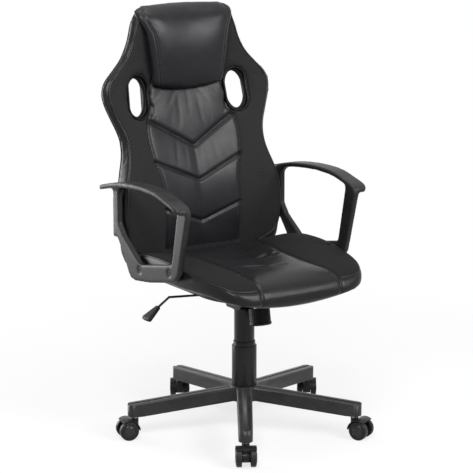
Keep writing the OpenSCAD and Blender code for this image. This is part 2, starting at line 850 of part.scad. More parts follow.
module arm_pad() {
    ys = [for (i = [0:20]) -142 + 19.8 * i];
    x0 = arm_inner_x;
    intersection() {
        along_x(x0, x0 + arm_pad_w) polygon(concat(
            [for (y = ys) [y, curve_at(arm_top_line, y)]],
            [for (i = [20:-1:0]) [ys[i], curve_at(arm_top_line, ys[i]) - arm_pad_t]]
        ));
        translate([0, 0, 150]) linear_extrude(200) union() {
            translate([x0, -126]) square([arm_pad_w, 364]);
            translate([x0 + 16, -142]) square([arm_pad_w - 32, 396]);
            for (x = [16, arm_pad_w - 16], y = [-126, 238]) translate([x0 + x, y]) circle(r = 16);
        }
    }
}

module arm() {
    head_x = arm_outer_x - 6;
    color("#232425") on_seat() difference() {
        union() {
            along_x(arm_inner_x, arm_outer_x) arm_plate_outline();
            arm_pad();
            along_x(arm_inner_x, arm_inner_x + 6) polygon([
                [205, 112], [flange_y + flange_t, 112], [flange_y + flange_t, 220], [205, 220]
            ]);
            translate([flange_inner_x, flange_y, 112])
                cube([arm_inner_x + 1 - flange_inner_x, flange_t, 108]);
            for (b = arm_bolts) translate([board_half_w + soft_gap, b[0], b[1]]) rotate([0, 90, 0])
                cylinder(r = 11, h = arm_inner_x - board_half_w);
        }
        for (b = arm_bolts) translate([0, b[0], b[1]]) rotate([0, 90, 0]) {
            translate([0, 0, board_half_w - 5]) cylinder(r = bolt_r + 0.3, h = 90);
            translate([0, 0, head_x]) cylinder(r = 8.5, h = 20);
        }
        for (h = back_bolts_h) translate([back_bolt_x, 300, h]) rotate([90, 0, 0])
            cylinder(r = bolt_r + 0.3, h = 100);
    }
}

module left_arm() {
    arm();
}

module right_arm() {
    mirror([1, 0, 0]) arm();
}

module arm_seat_bolts() {
    head_x = arm_outer_x - 6;
    inner_x = board_half_w - rail_t + 1;
    color("#77797c") on_seat() both_sides() for (b = arm_bolts)
        translate([0, b[0], b[1]]) rotate([0, 90, 0]) difference() {
            union() {
                translate([0, 0, inner_x]) cylinder(r = bolt_r, h = head_x - inner_x);
                translate([0, 0, head_x]) cylinder(r = 7, h = 4.5);
            }
            translate([0, 0, head_x + 2]) cylinder(r = 3, h = 5, $fn = 6);
        }
}

module arm_back_bolts() {
    head_y = flange_y + flange_t;
    color("#8d8f92") on_seat() both_sides() for (h = back_bolts_h)
        translate([back_bolt_x, head_y, h]) rotate([90, 0, 0]) {
            cylinder(r = bolt_r, h = 20);
            translate([0, 0, -5]) cylinder(r = 7, h = 5, $fn = 6);
        }
}

// ---------------------------------------------------------------- casters

// Frame of the k-th caster: origin under its stem, +X the way it trails
module on_caster(k) {
    rotate([0, 0, arm_turns[k]]) translate([stem_circle_r, 0, 0])
        rotate([0, 0, caster_turns[k] - arm_turns[k]]) children();
}

// Frame of the axle: its axis along +Z, the caster's width centred on it
module on_axle() {
    translate([trail, 0, wheel_d / 2]) rotate([90, 0, 0]) children();
}

// Part of a ring over the wheels, from just ahead of their tops to the stem's side
module hood_arc(r0, r1) {
    reach = wheel_d;
    intersection() {
        difference() {
            circle(r = r1);
            circle(r = r0);
        }
        polygon([
            [0, 0], [reach * cos(54), reach * sin(54)], [-reach, 2 * reach],
            [reach * cos(177), reach * sin(177)]
        ]);
    }
}

module caster_hood(k) {
    body_half = tread_gap / 2 - 0.8;
    roof_half = tread_gap / 2 + wheel_w + 0.6;
    hood_r = wheel_d / 2 + 3.6;
    color("#202122") on_caster(k) difference() {
        union() {
            on_axle() {
                translate([0, 0, -roof_half]) linear_extrude(2 * roof_half)
                    hood_arc(hood_r - 2.4, hood_r);
                translate([0, 0, -body_half]) linear_extrude(2 * body_half) {
                    hood_arc(2, hood_r - 1);
                    circle(r = 14);
                }
            }
            translate([0, 0, 22]) cylinder(r = 10, h = wheel_d - 18);
        }
        on_axle() translate([0, 0, -20]) cylinder(r = axle_r, h = 40);
        translate([0, 0, 30]) cylinder(r = stem_r - 1.5, h = 40);
    }
}

module caster_stem(k) {
    color("#8d8f92") on_caster(k) {
        translate([0, 0, 30]) cylinder(r = stem_r - 1.5, h = 30);
        translate([0, 0, wheel_d + 4]) cylinder(r = 8.5, h = base_bottom - wheel_d - 4.3);
        translate([0, 0, wheel_d + 4]) cylinder(r = stem_r, h = base_bottom + socket_depth - wheel_d - 4.3);
    }
}

module caster_axle(k) {
    half = tread_gap / 2 + wheel_w - 3;
    color("#8d8f92") on_caster(k) on_axle() translate([0, 0, -half]) cylinder(r = axle_r, h = 2 * half);
}

module caster_wheel(k, side) {
    r = wheel_d / 2;
    color("#28292a") on_caster(k) on_axle() mirror([0, 0, side < 0 ? 1 : 0])
        translate([0, 0, tread_gap / 2]) rotate_extrude() difference() {
            union() {
                square([r, wheel_w - 4]);
                square([r - 4, wheel_w]);
                translate([r - 4, wheel_w - 4]) circle(r = 4);
            }
            translate([-1, -1]) square([axle_r + run_gap + 1, wheel_w - 1.6]);
            translate([9, wheel_w - 1.4]) square([r - 16, 3]);
            translate([8, -1]) square([r - 12, 5]);
            translate([-10, -10]) square([10, 40]);
        }
}

module caster_1_hood() {
    caster_hood(0);
}

module caster_1_stem() {
    caster_stem(0);
}

module caster_1_axle() {
    caster_axle(0);
}

module caster_1_wheel_a() {
    caster_wheel(0, 1);
}

module caster_1_wheel_b() {
    caster_wheel(0, -1);
}

module caster_2_hood() {
    caster_hood(1);
}

module caster_2_stem() {
    caster_stem(1);
}

module caster_2_axle() {
    caster_axle(1);
}

module caster_2_wheel_a() {
    caster_wheel(1, 1);
}

module caster_2_wheel_b() {
    caster_wheel(1, -1);
}

module caster_3_hood() {
    caster_hood(2);
}

module caster_3_stem() {
    caster_stem(2);
}

module caster_3_axle() {
    caster_axle(2);
}

module caster_3_wheel_a() {
    caster_wheel(2, 1);
}

module caster_3_wheel_b() {
    caster_wheel(2, -1);
}

module caster_4_hood() {
    caster_hood(3);
}

module caster_4_stem() {
    caster_stem(3);
}

module caster_4_axle() {
    caster_axle(3);
}

module caster_4_wheel_a() {
    caster_wheel(3, 1);
}

module caster_4_wheel_b() {
    caster_wheel(3, -1);
}

module caster_5_hood() {
    caster_hood(4);
}

module caster_5_stem() {
    caster_stem(4);
}

module caster_5_axle() {
    caster_axle(4);
}

module caster_5_wheel_a() {
    caster_wheel(4, 1);
}

module caster_5_wheel_b() {
    caster_wheel(4, -1);
}

five_star_base();
gas_tube();
guide_bush();
lower_cover();
middle_cover();
piston_rod();
thrust_bearing();
retaining_clip();
gas_cylinder();
release_button();
upper_cover();
tilt_housing();
tilt_axle();
tension_spring();
lever_bush();
lever_rod();
lever_handle();
seat_plate();
tension_bolt();
thrust_washer();
tension_knob();
seat_board();
seat_bolts();
seat_underside_cover();
seat_cushion();
back_board();
back_cushion();
back_rear_cover();
headrest_pad();
strap_trim_left();
strap_trim_right();
left_arm();
right_arm();
arm_seat_bolts();
arm_back_bolts();
caster_1_hood();
caster_1_stem();
caster_1_axle();
caster_1_wheel_a();
caster_1_wheel_b();
caster_2_hood();
caster_2_stem();
caster_2_axle();
caster_2_wheel_a();
caster_2_wheel_b();
caster_3_hood();
caster_3_stem();
caster_3_axle();
caster_3_wheel_a();
caster_3_wheel_b();
caster_4_hood();
caster_4_stem();
caster_4_axle();
caster_4_wheel_a();
caster_4_wheel_b();
caster_5_hood();
caster_5_stem();
caster_5_axle();
caster_5_wheel_a();
caster_5_wheel_b();
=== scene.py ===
"""Gaming chair: cushions, finishes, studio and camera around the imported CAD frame.

Sizes in the fields are millimetres in the row frame: +Z up, the chair's front towards -Y and the sitter's right
towards -X. Meshes are made in metres, and every finished piece has its place in its mesh.
"""

import logging
import math
from collections.abc import Sequence
from dataclasses import dataclass, field
from enum import Enum
from functools import cache

import bmesh
import bpy
import numpy as np
from mathutils import Matrix, Vector
from mathutils.bvhtree import BVHTree


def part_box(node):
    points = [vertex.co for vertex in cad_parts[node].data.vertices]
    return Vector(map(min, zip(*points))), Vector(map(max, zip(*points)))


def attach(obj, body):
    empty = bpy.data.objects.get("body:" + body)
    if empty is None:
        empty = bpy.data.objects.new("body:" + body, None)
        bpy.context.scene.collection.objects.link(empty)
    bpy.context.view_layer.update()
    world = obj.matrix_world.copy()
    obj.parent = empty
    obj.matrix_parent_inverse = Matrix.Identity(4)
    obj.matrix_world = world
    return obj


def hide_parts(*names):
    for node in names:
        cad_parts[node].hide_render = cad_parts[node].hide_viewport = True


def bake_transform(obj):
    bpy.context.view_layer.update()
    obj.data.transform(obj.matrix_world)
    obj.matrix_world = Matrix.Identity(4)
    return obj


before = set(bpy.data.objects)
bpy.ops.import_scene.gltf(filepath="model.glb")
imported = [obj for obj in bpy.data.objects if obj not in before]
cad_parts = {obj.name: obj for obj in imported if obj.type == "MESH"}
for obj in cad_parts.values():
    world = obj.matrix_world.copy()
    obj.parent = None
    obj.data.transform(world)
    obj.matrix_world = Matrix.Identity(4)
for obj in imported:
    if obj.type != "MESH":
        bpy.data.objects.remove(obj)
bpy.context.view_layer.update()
MM = 0.001
LOG = logging.getLogger("gaming_chair")
Path = np.ndarray
Point = tuple[float, float, float]
Pair = tuple[float, float]
Socket = bpy.types.NodeSocket
Tree = bpy.types.NodeTree
Piece = bpy.types.Object
SIDES = (-1, 1)
CASTERS = range(1, 6)
DOWN = (0, 0, -1)
REARWARD = (0, 1, 0)
# Distance in mm within which the points of a CAD solid's faces are one point
WELD_GAP = 0.01
# Most of a noise's values lie between these
NOISE_SPAN = (0.3, 0.7)


# ---------------------------------------------------------------- nodes and finishes


def linear(code: str) -> tuple[float, float, float, float]:
    """Turns an sRGB hex colour into the linear colour that a shader takes.

    Args:
        code: The colour as "#rrggbb".

    Returns:
        Red, green, blue and alpha, linear.
    """
    parts = [int(code[i : i + 2], 16) / 255 for i in (1, 3, 5)]
    red, green, blue = [c / 12.92 if c <= 0.04045 else ((c + 0.055) / 1.055) ** 2.4 for c in parts]
    return red, green, blue, 1.0


def add_node(tree: Tree, kind: str, links: dict | None = None, **settings: object) -> bpy.types.Node:
    """Adds one node to a tree.

    Args:
        tree: The node tree it goes in.
        kind: The node's type name.
        links: For each input, by name or number, its value or the output socket that feeds it.
        **settings: The node's own settings.

    Returns:
        The new node.
    """
    node = tree.nodes.new(kind)
    for name, value in settings.items():
        setattr(node, name, value)
    for key, value in (links or {}).items():
        if isinstance(value, Socket):
            tree.links.new(value, node.inputs[key])
        else:
            node.inputs[key].default_value = value
    return node


class Surface:
    """A material under way: its tree, its Principled shader, and the Object coordinates of its patterns."""

    def __init__(self, name: str, **sockets: float) -> None:
        """Starts the material.

        Args:
            name: The material's name.
            **sockets: Values that are the same all over it, by socket name with _ for a space.
        """
        self.material = bpy.data.materials.new(name)
        self.material.use_nodes = True
        self.tree = self.material.node_tree
        self.shader = self.tree.nodes["Principled BSDF"]
        for key, value in sockets.items():
            self.shader.inputs[key.replace("_", " ").title().replace("Ior", "IOR")].default_value = value
        self.place = add_node(self.tree, "ShaderNodeTexCoord").outputs["Object"]

    def attribute(self, name: str) -> Socket:
        """Reads a number that is written on the mesh's points."""
        return add_node(self.tree, "ShaderNodeAttribute", attribute_name=name).outputs["Fac"]

    def mapped(self, **inputs: Point) -> Socket:
        """Gives the place turned or scaled by a Mapping node's inputs."""
        return add_node(self.tree, "ShaderNodeMapping", {"Vector": self.place, **inputs}).outputs["Vector"]

    def noise(self, width: float, detail: float, where: Socket | None = None, **more: float) -> Socket:
        """Adds a cloudy noise from 0 to 1.

        Args:
            width: Width of its features in mm.
            detail: Its detail.
            where: Its coordinates, or none for the place itself.
            **more: Other inputs of its node.

        Returns:
            Its output.
        """
        inputs = {"Vector": where or self.place, "Scale": 1 / (width * MM), "Detail": detail, **more}
        return add_node(self.tree, "ShaderNodeTexNoise", inputs).outputs["Fac"]

    def cells(self, width: float, uneven: float, where: Socket | None = None, dimensions: str = "3D") -> Socket:
        """Adds a pattern of cells, as the distance from their middles.

        Args:
            width: Spacing of the cells in mm.
            uneven: 0 for an even grid, 1 for scattered cells.
            where: Their coordinates, or none for the place itself.
            dimensions: "2D" for cells that run straight through, "3D" for round ones.

        Returns:
            Its output.
        """
        inputs = {"Vector": where or self.place, "Scale": 1 / (width * MM), "Randomness": uneven}
        node = add_node(self.tree, "ShaderNodeTexVoronoi", inputs, voronoi_dimensions=dimensions)
        return node.outputs["Distance"]

    def remap(self, value: Socket, start: Pair, to: Pair = (0.0, 1.0)) -> Socket:
        """Maps the values between two numbers on two others, and holds the rest at their ends."""
        inputs = {"Value": value, "From Min": start[0], "From Max": start[1], "To Min": to[0], "To Max": to[1]}
        return add_node(self.tree, "ShaderNodeMapRange", inputs).outputs["Result"]

    def combine(self, operation: str, first: Socket, second: Socket | float) -> Socket:
        """Adds one sum on two numbers."""
        return add_node(self.tree, "ShaderNodeMath", {0: first, 1: second}, operation=operation).outputs[0]

    def mix(self, share: Socket, first: Socket | float, second: Socket | float) -> Socket:
        """Mixes two numbers."""
        inputs = {0: share, 2: first, 3: second}
        return add_node(self.tree, "ShaderNodeMix", inputs, data_type="FLOAT").outputs[0]

    def tint(self, share: Socket, first: Socket | tuple | str, second: Socket | tuple | str) -> Socket:
        """Mixes two colours, each an output, a linear colour or a hex code."""
        pair = [linear(colour) if isinstance(colour, str) else colour for colour in (first, second)]
        inputs = {0: share, 6: pair[0], 7: pair[1]}
        return add_node(self.tree, "ShaderNodeMix", inputs, data_type="RGBA").outputs[2]

    def feed(self, name: str, value: Socket) -> None:
        """Links an output to one of the shader's inputs."""
        self.tree.links.new(value, self.shader.inputs[name])

    def bump(self, height: Socket, depth: float, strength: float = 1.0) -> None:
        """Gives the surface a relief.

        Args:
            height: Its height, 0 to 1.
            depth: Its depth in mm.
            strength: How much of it shows.
        """
        inputs = {"Height": height, "Distance": depth * MM, "Strength": strength}
        self.feed("Normal", add_node(self.tree, "ShaderNodeBump", inputs).outputs["Normal"])


@dataclass(frozen=True)
class Finish:
    """How a surface looks.

    Attributes:
        name: Name of the finish.
        dark: Colour in hollows and on dull patches.
        light: Colour on tops and on bright patches.
    """

    name: str
    dark: str
    light: str

    def build(self) -> bpy.types.Material:
        """Makes the material."""
        raise NotImplementedError


@dataclass(frozen=True)
class Moulded(Finish):
    """Injection-moulded plastic or nylon: a fine spark-eroded grain that breaks up its highlights.

    Attributes:
        rough: Roughness between the smoothest and the roughest patch.
        grain: Grain width in mm, drawn about three times as coarse as the real 0.4 mm so that it shows.
        depth: Grain depth in mm.
        gloss: Specular level; the pigment and grain of black mouldings leave less than the usual 0.5.
    """

    rough: Pair
    grain: float = 1.2
    depth: float = 0.05
    gloss: float = 0.16

    def build(self) -> bpy.types.Material:
        """Makes the material."""
        skin = Surface(self.name, ior=1.5, specular_ior_level=self.gloss)
        patches = skin.noise(55, 4.0, Roughness=0.6)
        grain = skin.noise(self.grain, 2.0)
        shade = skin.remap(skin.combine("ADD", patches, grain), (0.75, 1.25))
        skin.feed("Base Color", skin.tint(shade, self.dark, self.light))
        skin.feed("Roughness", skin.remap(patches, NOISE_SPAN, self.rough))
        skin.bump(grain, self.depth)
        return skin.material


@dataclass(frozen=True)
class Metal(Finish):
    """Bare or plated steel: drawn upright lines and a cloudy plating.

    Attributes:
        rough: Roughness between the brightest and the dullest patch.
        line: Line spacing in mm; real drawing lines are about 0.1 mm, drawn coarser so that they show.
        run: How many times longer than wide the lines are.
    """

    rough: Pair
    line: float = 0.6
    run: float = 12.0

    def build(self) -> bpy.types.Material:
        """Makes the material."""
        skin = Surface(self.name, metallic=1.0)
        clouds = skin.noise(14, 5.0)
        lines = skin.noise(self.line, 2.0, skin.mapped(Scale=(1.0, 1.0, 1 / self.run)))
        skin.feed("Base Color", skin.tint(clouds, self.dark, self.light))
        skin.feed("Roughness", skin.remap(clouds, NOISE_SPAN, self.rough))
        skin.bump(lines, 0.02, 0.6)
        return skin.material


@dataclass(frozen=True)
class PowderCoat(Finish):
    """Powder-coated steel: an even skin with a faint orange peel, paler where dust lies.

    Attributes:
        rough: Roughness between smooth and dusty patches.
        peel: Width of the orange peel in mm.
    """

    rough: Pair
    peel: float = 1.8

    def build(self) -> bpy.types.Material:
        """Makes the material."""
        skin = Surface(self.name, ior=1.5, specular_ior_level=0.2)
        dust = skin.noise(40, 5.0)
        skin.feed("Base Color", skin.tint(dust, self.dark, self.light))
        skin.feed("Roughness", skin.remap(dust, NOISE_SPAN, self.rough))
        skin.bump(skin.noise(self.peel, 1.0), 0.06, 0.7)
        return skin.material


@dataclass(frozen=True)
class Plywood(Finish):
    """Rotary-cut plywood: long soft figure across the sheet.

    Attributes:
        figure: Spacing of the figure in mm.
        squeeze: How much slower the figure changes along the grain than across it.
    """

    figure: float = 9.0
    squeeze: float = 0.12

    def build(self) -> bpy.types.Material:
        """Makes the material."""
        skin = Surface(self.name, roughness=0.62)
        grain = skin.noise(self.figure, 6.0, skin.mapped(Scale=(1.0, self.squeeze, 1.0)), Distortion=0.6)
        skin.feed("Base Color", skin.tint(skin.remap(grain, NOISE_SPAN), self.dark, self.light))
        skin.bump(grain, 0.1)
        return skin.material


@dataclass(frozen=True)
class DustLining(Finish):
    """Non-woven dust lining: a matt felt with pressed dots.

    Attributes:
        dots: Spacing of the pressed dots in mm; the real ones are 1.5 mm, drawn coarser so that they show.
    """

    dots: float = 3.0

    def build(self) -> bpy.types.Material:
        """Makes the material."""
        skin = Surface(self.name, roughness=0.92, specular_ior_level=0.2)
        dots = skin.cells(self.dots, 0.15)
        skin.feed("Base Color", skin.tint(dots, self.dark, self.light))
        skin.bump(dots, 0.3)
        return skin.material


class Facing(Enum):
    """The plane that the knitted mesh of a piece is laid out in, as a turn of its coordinates."""

    FRONT = (math.radians(-90), 0.0, 0.0)
    TOP = (0.0, 0.0, 0.0)


@dataclass(frozen=True)
class Upholstery(Finish):
    """Coated leatherette and knitted spacer mesh on one piece, parted along its seams.

    The piece's "panel" attribute is the distance in mm from the nearest seam between the two, positive on the
    leatherette. "seam" is the distance from any sewn line, and sets the painted shade that darkens its grooves.

    Attributes:
        rough: Roughness of the leatherette between its smooth and its rubbed patches.
        holes: Colour of the mesh in its holes.
        yarn: Colour of the mesh on its yarn.
        facing: The plane of the knitted pattern.
        seam_shade: Colour of the painted shade at the bottom of a seam's groove.
        gloss: Specular level; the dull topcoat of black leatherette leaves less than the usual 0.5.
        pebble: Width of the embossed pebbles in mm; real ones are about 1 mm, drawn coarser so that they show.
        hole: Spacing of the mesh's holes in mm; real ones are 2 mm, drawn coarser so that they show.
        knit_rough: Roughness of the mesh.
    """

    rough: Pair
    holes: str
    yarn: str
    facing: Facing
    seam_shade: str = "#0b0b0c"
    gloss: float = 0.19
    pebble: float = 2.2
    hole: float = 3.6
    knit_rough: float = 0.82

    def build(self) -> bpy.types.Material:
        """Makes the material."""
        skin = Surface(self.name, ior=1.48, specular_ior_level=self.gloss)
        is_leather = skin.remap(skin.attribute("panel"), (-0.5, 0.5))
        rubbed = skin.noise(70, 5.0, Roughness=0.6)
        leather = skin.tint(rubbed, self.dark, self.light)
        holes = skin.cells(self.hole, 0.08, skin.mapped(Rotation=self.facing.value), "2D")
        weave = skin.remap(holes, (0.18, 0.45))
        colour = skin.tint(is_leather, skin.tint(weave, self.holes, self.yarn), leather)
        # Painted shade: within 3 mm of a sewn line the colour darkens to the crease colour, standing in for
        # shade in the groove
        clear_of_seam_shade = skin.remap(skin.attribute("seam"), (0.6, 3.0))
        skin.feed("Base Color", skin.tint(clear_of_seam_shade, self.seam_shade, colour))
        smooth = skin.remap(rubbed, NOISE_SPAN, self.rough)
        skin.feed("Roughness", skin.mix(is_leather, self.knit_rough, smooth))
        pebbles = skin.combine("MULTIPLY", skin.cells(self.pebble, 1.0), 0.12)
        skin.bump(skin.mix(is_leather, skin.combine("MULTIPLY", weave, 0.45), pebbles), 1.0, 0.9)
        return skin.material


# Glass-filled polypropylene of the base: satin, with a fine grain from the mould
BASE_PLASTIC = Moulded("base_polypropylene", "#1c1c1d", "#2e2e2f", (0.32, 0.44), gloss=0.22)
# ABS tubes over the column: a smoother satin that shows long soft highlights
COLUMN_PLASTIC = Moulded("column_abs", "#1c1c1d", "#2a2a2b", (0.28, 0.38), grain=1.0, depth=0.03)
# Arms: polypropylene moulded with a fine matt grain that catches a broad pale light
ARM_PLASTIC = Moulded("arm_polypropylene", "#1b1b1c", "#2b2b2c", (0.34, 0.46), depth=0.06)
# Hoods of the casters: nylon, a little glossier than the base
HOOD_NYLON = Moulded("caster_nylon", "#111112", "#1d1d1e", (0.26, 0.36), grain=1.0, depth=0.03)
# Wheels: hard nylon, scuffed on the tread
WHEEL_NYLON = Moulded("wheel_nylon", "#161617", "#262627", (0.34, 0.52))
# Caps of the wheels: the same nylon, left glossier where nothing rubs it
CAP_NYLON = Moulded("cap_nylon", "#1b1b1c", "#2c2c2d", (0.24, 0.34), grain=0.9, depth=0.02, gloss=0.25)
# Lips of the strap holes: black rubber, dull and deep
LIP_RUBBER = Moulded("lip_rubber", "#09090a", "#101011", (0.45, 0.58), grain=1.4, depth=0.03, gloss=0.1)
# Rims of the strap holes: ABS with a matt black grain that swallows light
TRIM_PLASTIC = Moulded("trim_abs", "#0a0a0b", "#121213", (0.42, 0.55), grain=1.0, depth=0.02, gloss=0.08)
# Lever handle, its bush and the tension knob: polypropylene with a dull grip grain
GRIP_PLASTIC = Moulded("grip_polypropylene", "#0d0d0e", "#191919", (0.34, 0.48))
# Bush in the column: pale acetal that is left unpainted
BUSH_PLASTIC = Moulded("bush_acetal", "#4b4b4c", "#5f5f60", (0.30, 0.40), depth=0.02, gloss=0.5)
# Column tube: black powder coat with a soft sheen
COLUMN_PAINT = PowderCoat("column_powder_coat", "#222223", "#313133", (0.34, 0.46))
# Mechanism and lever: thin black powder coat over pressed steel
MECHANISM_PAINT = PowderCoat("mechanism_powder_coat", "#131314", "#212122", (0.40, 0.55))
# Bolts, axles and spring: zinc plating, bright but cloudy
ZINC = Metal("zinc_plated_steel", "#8d8f92", "#b9bbbe", (0.26, 0.44))
# Bolts of the arms' feet: black oxide, almost lost in their recesses
BLACK_OXIDE = Metal("black_oxide_steel", "#1d1d1e", "#303032", (0.34, 0.50))
# Gas spring's rod and cylinder: ground and polished steel
GROUND_STEEL = Metal("ground_steel", "#b4b6b8", "#d2d3d5", (0.14, 0.22), line=0.4)
# Board inside the back: plain birch ply
BOARD_PLY = Plywood("birch_plywood", "#8a6438", "#b8905c")
# Board under the seat: the same ply painted near-black as shade, so that its edge is lost under the cover
SHADE_DARK_PLY = Plywood("shade_dark_plywood", "#0e0d0c", "#1b1917")
# Cloth stapled under the seat
LINING = DustLining("dust_lining", "#0f0f10", "#1a1a1c")
# Seat cover: polyurethane leatherette, spacer mesh on the bolsters; colours painted darker than the back's as
# shade
SEAT_COVER = Upholstery(
    "seat_leatherette_and_mesh", "#101011", "#1a1a1c", (0.27, 0.38), "#050505", "#0f0f10", Facing.TOP
)
# Back cover and headrest: the same leatherette, mesh on the back's side panels; colours painted lighter than the
# seat's as light
BACK_COVER = Upholstery(
    "back_leatherette_and_mesh", "#131315", "#202023", (0.29, 0.40), "#0f0f0f", "#242424", Facing.FRONT
)
# Piping cord in leatherette, pulled smooth over its cord
PIPING = Moulded("piping_leatherette", "#151516", "#222223", (0.26, 0.36), grain=2.0, depth=0.04)
# Bonded polyester thread
THREAD = Moulded("bonded_thread", "#2a2a2c", "#4a4a4c", (0.45, 0.6), grain=1.0, depth=0.1)


@cache
def material_of(finish: Finish) -> bpy.types.Material:
    """Makes the material of a finish at its first use and gives it at each."""
    return finish.build()


# ---------------------------------------------------------------- mesh helpers


def new_piece(name: str, shape: bmesh.types.BMesh | bpy.types.Mesh) -> Piece:
    """Makes an object at the origin from a bmesh or mesh.

    Args:
        name: Name of the piece.
        shape: Its shape, in metres in the row frame. A bmesh is freed.

    Returns:
        The new object.
    """
    if isinstance(shape, bmesh.types.BMesh):
        mesh = bpy.data.meshes.new(name)
        shape.to_mesh(mesh)
        shape.free()
    else:
        mesh = shape
    mesh.shade_smooth()
    piece = bpy.data.objects.new(name, mesh)
    bpy.context.scene.collection.objects.link(piece)
    return piece


def side_word(side: int) -> str:
    """Names the sitter's side that -1 or 1 stands for."""
    return "left" if side > 0 else "right"


def middle_of(node: str) -> Vector:
    """Gives the middle of a CAD node's box, in metres."""
    low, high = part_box(node)
    return (Vector(low) + Vector(high)) / 2


def turn_to(way: Vector) -> Matrix:
    """Gives the turn that points +Z along a direction."""
    return way.to_track_quat("Z", "Y").to_matrix().to_4x4()


def cad_copy(nodes: Sequence[str]) -> bmesh.types.BMesh:
    """Joins copies of CAD nodes in one bmesh, each merged to a closed shell.

    Args:
        nodes: Names of the nodes.

    Returns:
        The joined copies.
    """
    joined = bmesh.new()
    for node in nodes:
        part = bmesh.new()
        part.from_mesh(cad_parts[node].data)
        bmesh.ops.remove_doubles(part, verts=part.verts[:], dist=WELD_GAP * MM)
        merged = bpy.data.meshes.new("merged")
        part.to_mesh(merged)
        part.free()
        joined.from_mesh(merged)
        bpy.data.meshes.remove(merged)
    return joined


def settle(piece: Piece) -> None:
    """Applies a piece's modifiers to its mesh.

    Args:
        piece: The piece.
    """
    graph = bpy.context.evaluated_depsgraph_get()
    result = bpy.data.meshes.new_from_object(piece.evaluated_get(graph))
    old = piece.data
    piece.modifiers.clear()
    piece.data = result
    bpy.data.meshes.remove(old)


def remesh(piece: Piece, voxel: float) -> None:
    """Rebuilds a piece from even quads.

    Args:
        piece: The piece.
        voxel: Size of the quads in mm.
    """
    modifier = piece.modifiers.new("even", "REMESH")
    modifier.mode = "VOXEL"
    modifier.voxel_size = voxel * MM
    modifier.use_smooth_shade = True
    settle(piece)


def subdivide(piece: Piece) -> None:
    """Divides a piece's faces once, smoothly, in its mesh."""
    modifier = piece.modifiers.new("finer", "SUBSURF")
    modifier.levels = modifier.render_levels = 1
    settle(piece)


def drop_inner(cover: Piece) -> None:
    """Deletes closed shells that the remesh leaves inside a cover.

    Args:
        cover: The cover.
    """
    shape = bmesh.new()
    shape.from_mesh(cover.data)
    left = set(shape.verts)
    groups = []
    while left:
        stack = [left.pop()]
        group = list(stack)
        while stack:
            for edge in stack.pop().link_edges:
                fresh = [vert for vert in edge.verts if vert in left]
                left.difference_update(fresh)
                stack += fresh
                group += fresh
        groups.append(group)
    groups.sort(key=len)
    for group in groups[:-1]:
        bmesh.ops.delete(shape, geom=group, context="VERTS")
    shape.to_mesh(cover.data)
    shape.free()


def places(piece: Piece) -> np.ndarray:
    """Gives a piece's points in mm, one row each."""
    flat = np.empty(len(piece.data.vertices) * 3, np.float64)
    piece.data.vertices.foreach_get("co", flat)
    return flat.reshape(-1, 3) / MM


def normals(piece: Piece) -> np.ndarray:
    """Gives the normals at a piece's points, one row each."""
    flat = np.empty(len(piece.data.vertices) * 3, np.float64)
    piece.data.vertex_normals.foreach_get("vector", flat)
    return flat.reshape(-1, 3)


def move_to(piece: Piece, points: np.ndarray) -> None:
    """Puts a piece's points at new places.

    Args:
        piece: The piece.
        points: The places in mm, one row each.
    """
    piece.data.vertices.foreach_set("co", (points * MM).ravel())
    piece.data.update()


def relax(piece: Piece, rounds: int, factor: float = 0.5) -> None:
    """Smooths a piece's mesh.

    Args:
        piece: The piece.
        rounds: How many times.
        factor: How far towards its neighbours' mean each point goes each time.
    """
    shape = bmesh.new()
    shape.from_mesh(piece.data)
    for _ in range(rounds):
        bmesh.ops.smooth_vert(
            shape, verts=shape.verts[:], factor=factor, use_axis_x=True, use_axis_y=True, use_axis_z=True
        )
    shape.to_mesh(piece.data)
    shape.free()


def surface(piece: Piece) -> BVHTree:
    """Gives a search tree of a piece's faces."""
    shape = bmesh.new()
    shape.from_mesh(piece.data)
    tree = BVHTree.FromBMesh(shape)
    shape.free()
    return tree


def spread(path: Sequence[Sequence[float]] | Path, step: float, rounds: int = 0, closed: bool = False) -> Path:
    """Spaces a path's points evenly and rounds its corners.

    Args:
        path: Points of the path in mm.
        step: Distance between the new points in mm.
        rounds: How many times the new points are averaged with their neighbours.
        closed: Whether the path joins up with itself.

    Returns:
        The new points, one row each.
    """
    points = np.asarray(path, float)
    if closed:
        points = np.vstack([points, points[:1]])
    lengths = np.concatenate([[0.0], np.cumsum(np.linalg.norm(np.diff(points, axis=0), axis=1))])
    count = max(2, int(round(lengths[-1] / step)) + 1)
    at = np.linspace(0, lengths[-1], count)
    even = np.stack([np.interp(at, lengths, points[:, k]) for k in range(points.shape[1])], axis=1)
    if closed:
        even = even[:-1]
    for _ in range(rounds):
        if closed:
            even = (np.roll(even, 1, 0) + 2 * even + np.roll(even, -1, 0)) / 4
        else:
            even[1:-1] = (even[:-2] + 2 * even[1:-1] + even[2:]) / 4
    return even


def nearest(tree: BVHTree, path: Path) -> Path:
    """Moves each of a path's points, in mm, to the nearest place on a surface."""
    return np.array([[c / MM for c in tree.find_nearest(Vector(point) * MM)[0]] for point in path])


def project(tree: BVHTree, path: Path, towards: Point, start: float = 600.0) -> Path:
    """Drops a path's points on a surface along one direction.

    Args:
        tree: The surface's search tree.
        path: Points in mm, one row each.
        towards: The direction.
        start: How far before each point its ray starts, in mm.

    Returns:
        The points where the rays meet the surface; a ray that misses gives its nearest point.
    """
    way = Vector(towards).normalized()
    found = []
    for point in path:
        origin = (Vector(point) - way * start) * MM
        hit = tree.ray_cast(origin, way)[0]
        if hit is None:
            hit = tree.find_nearest(Vector(point) * MM)[0]
        found.append([c / MM for c in hit])
    return np.array(found)


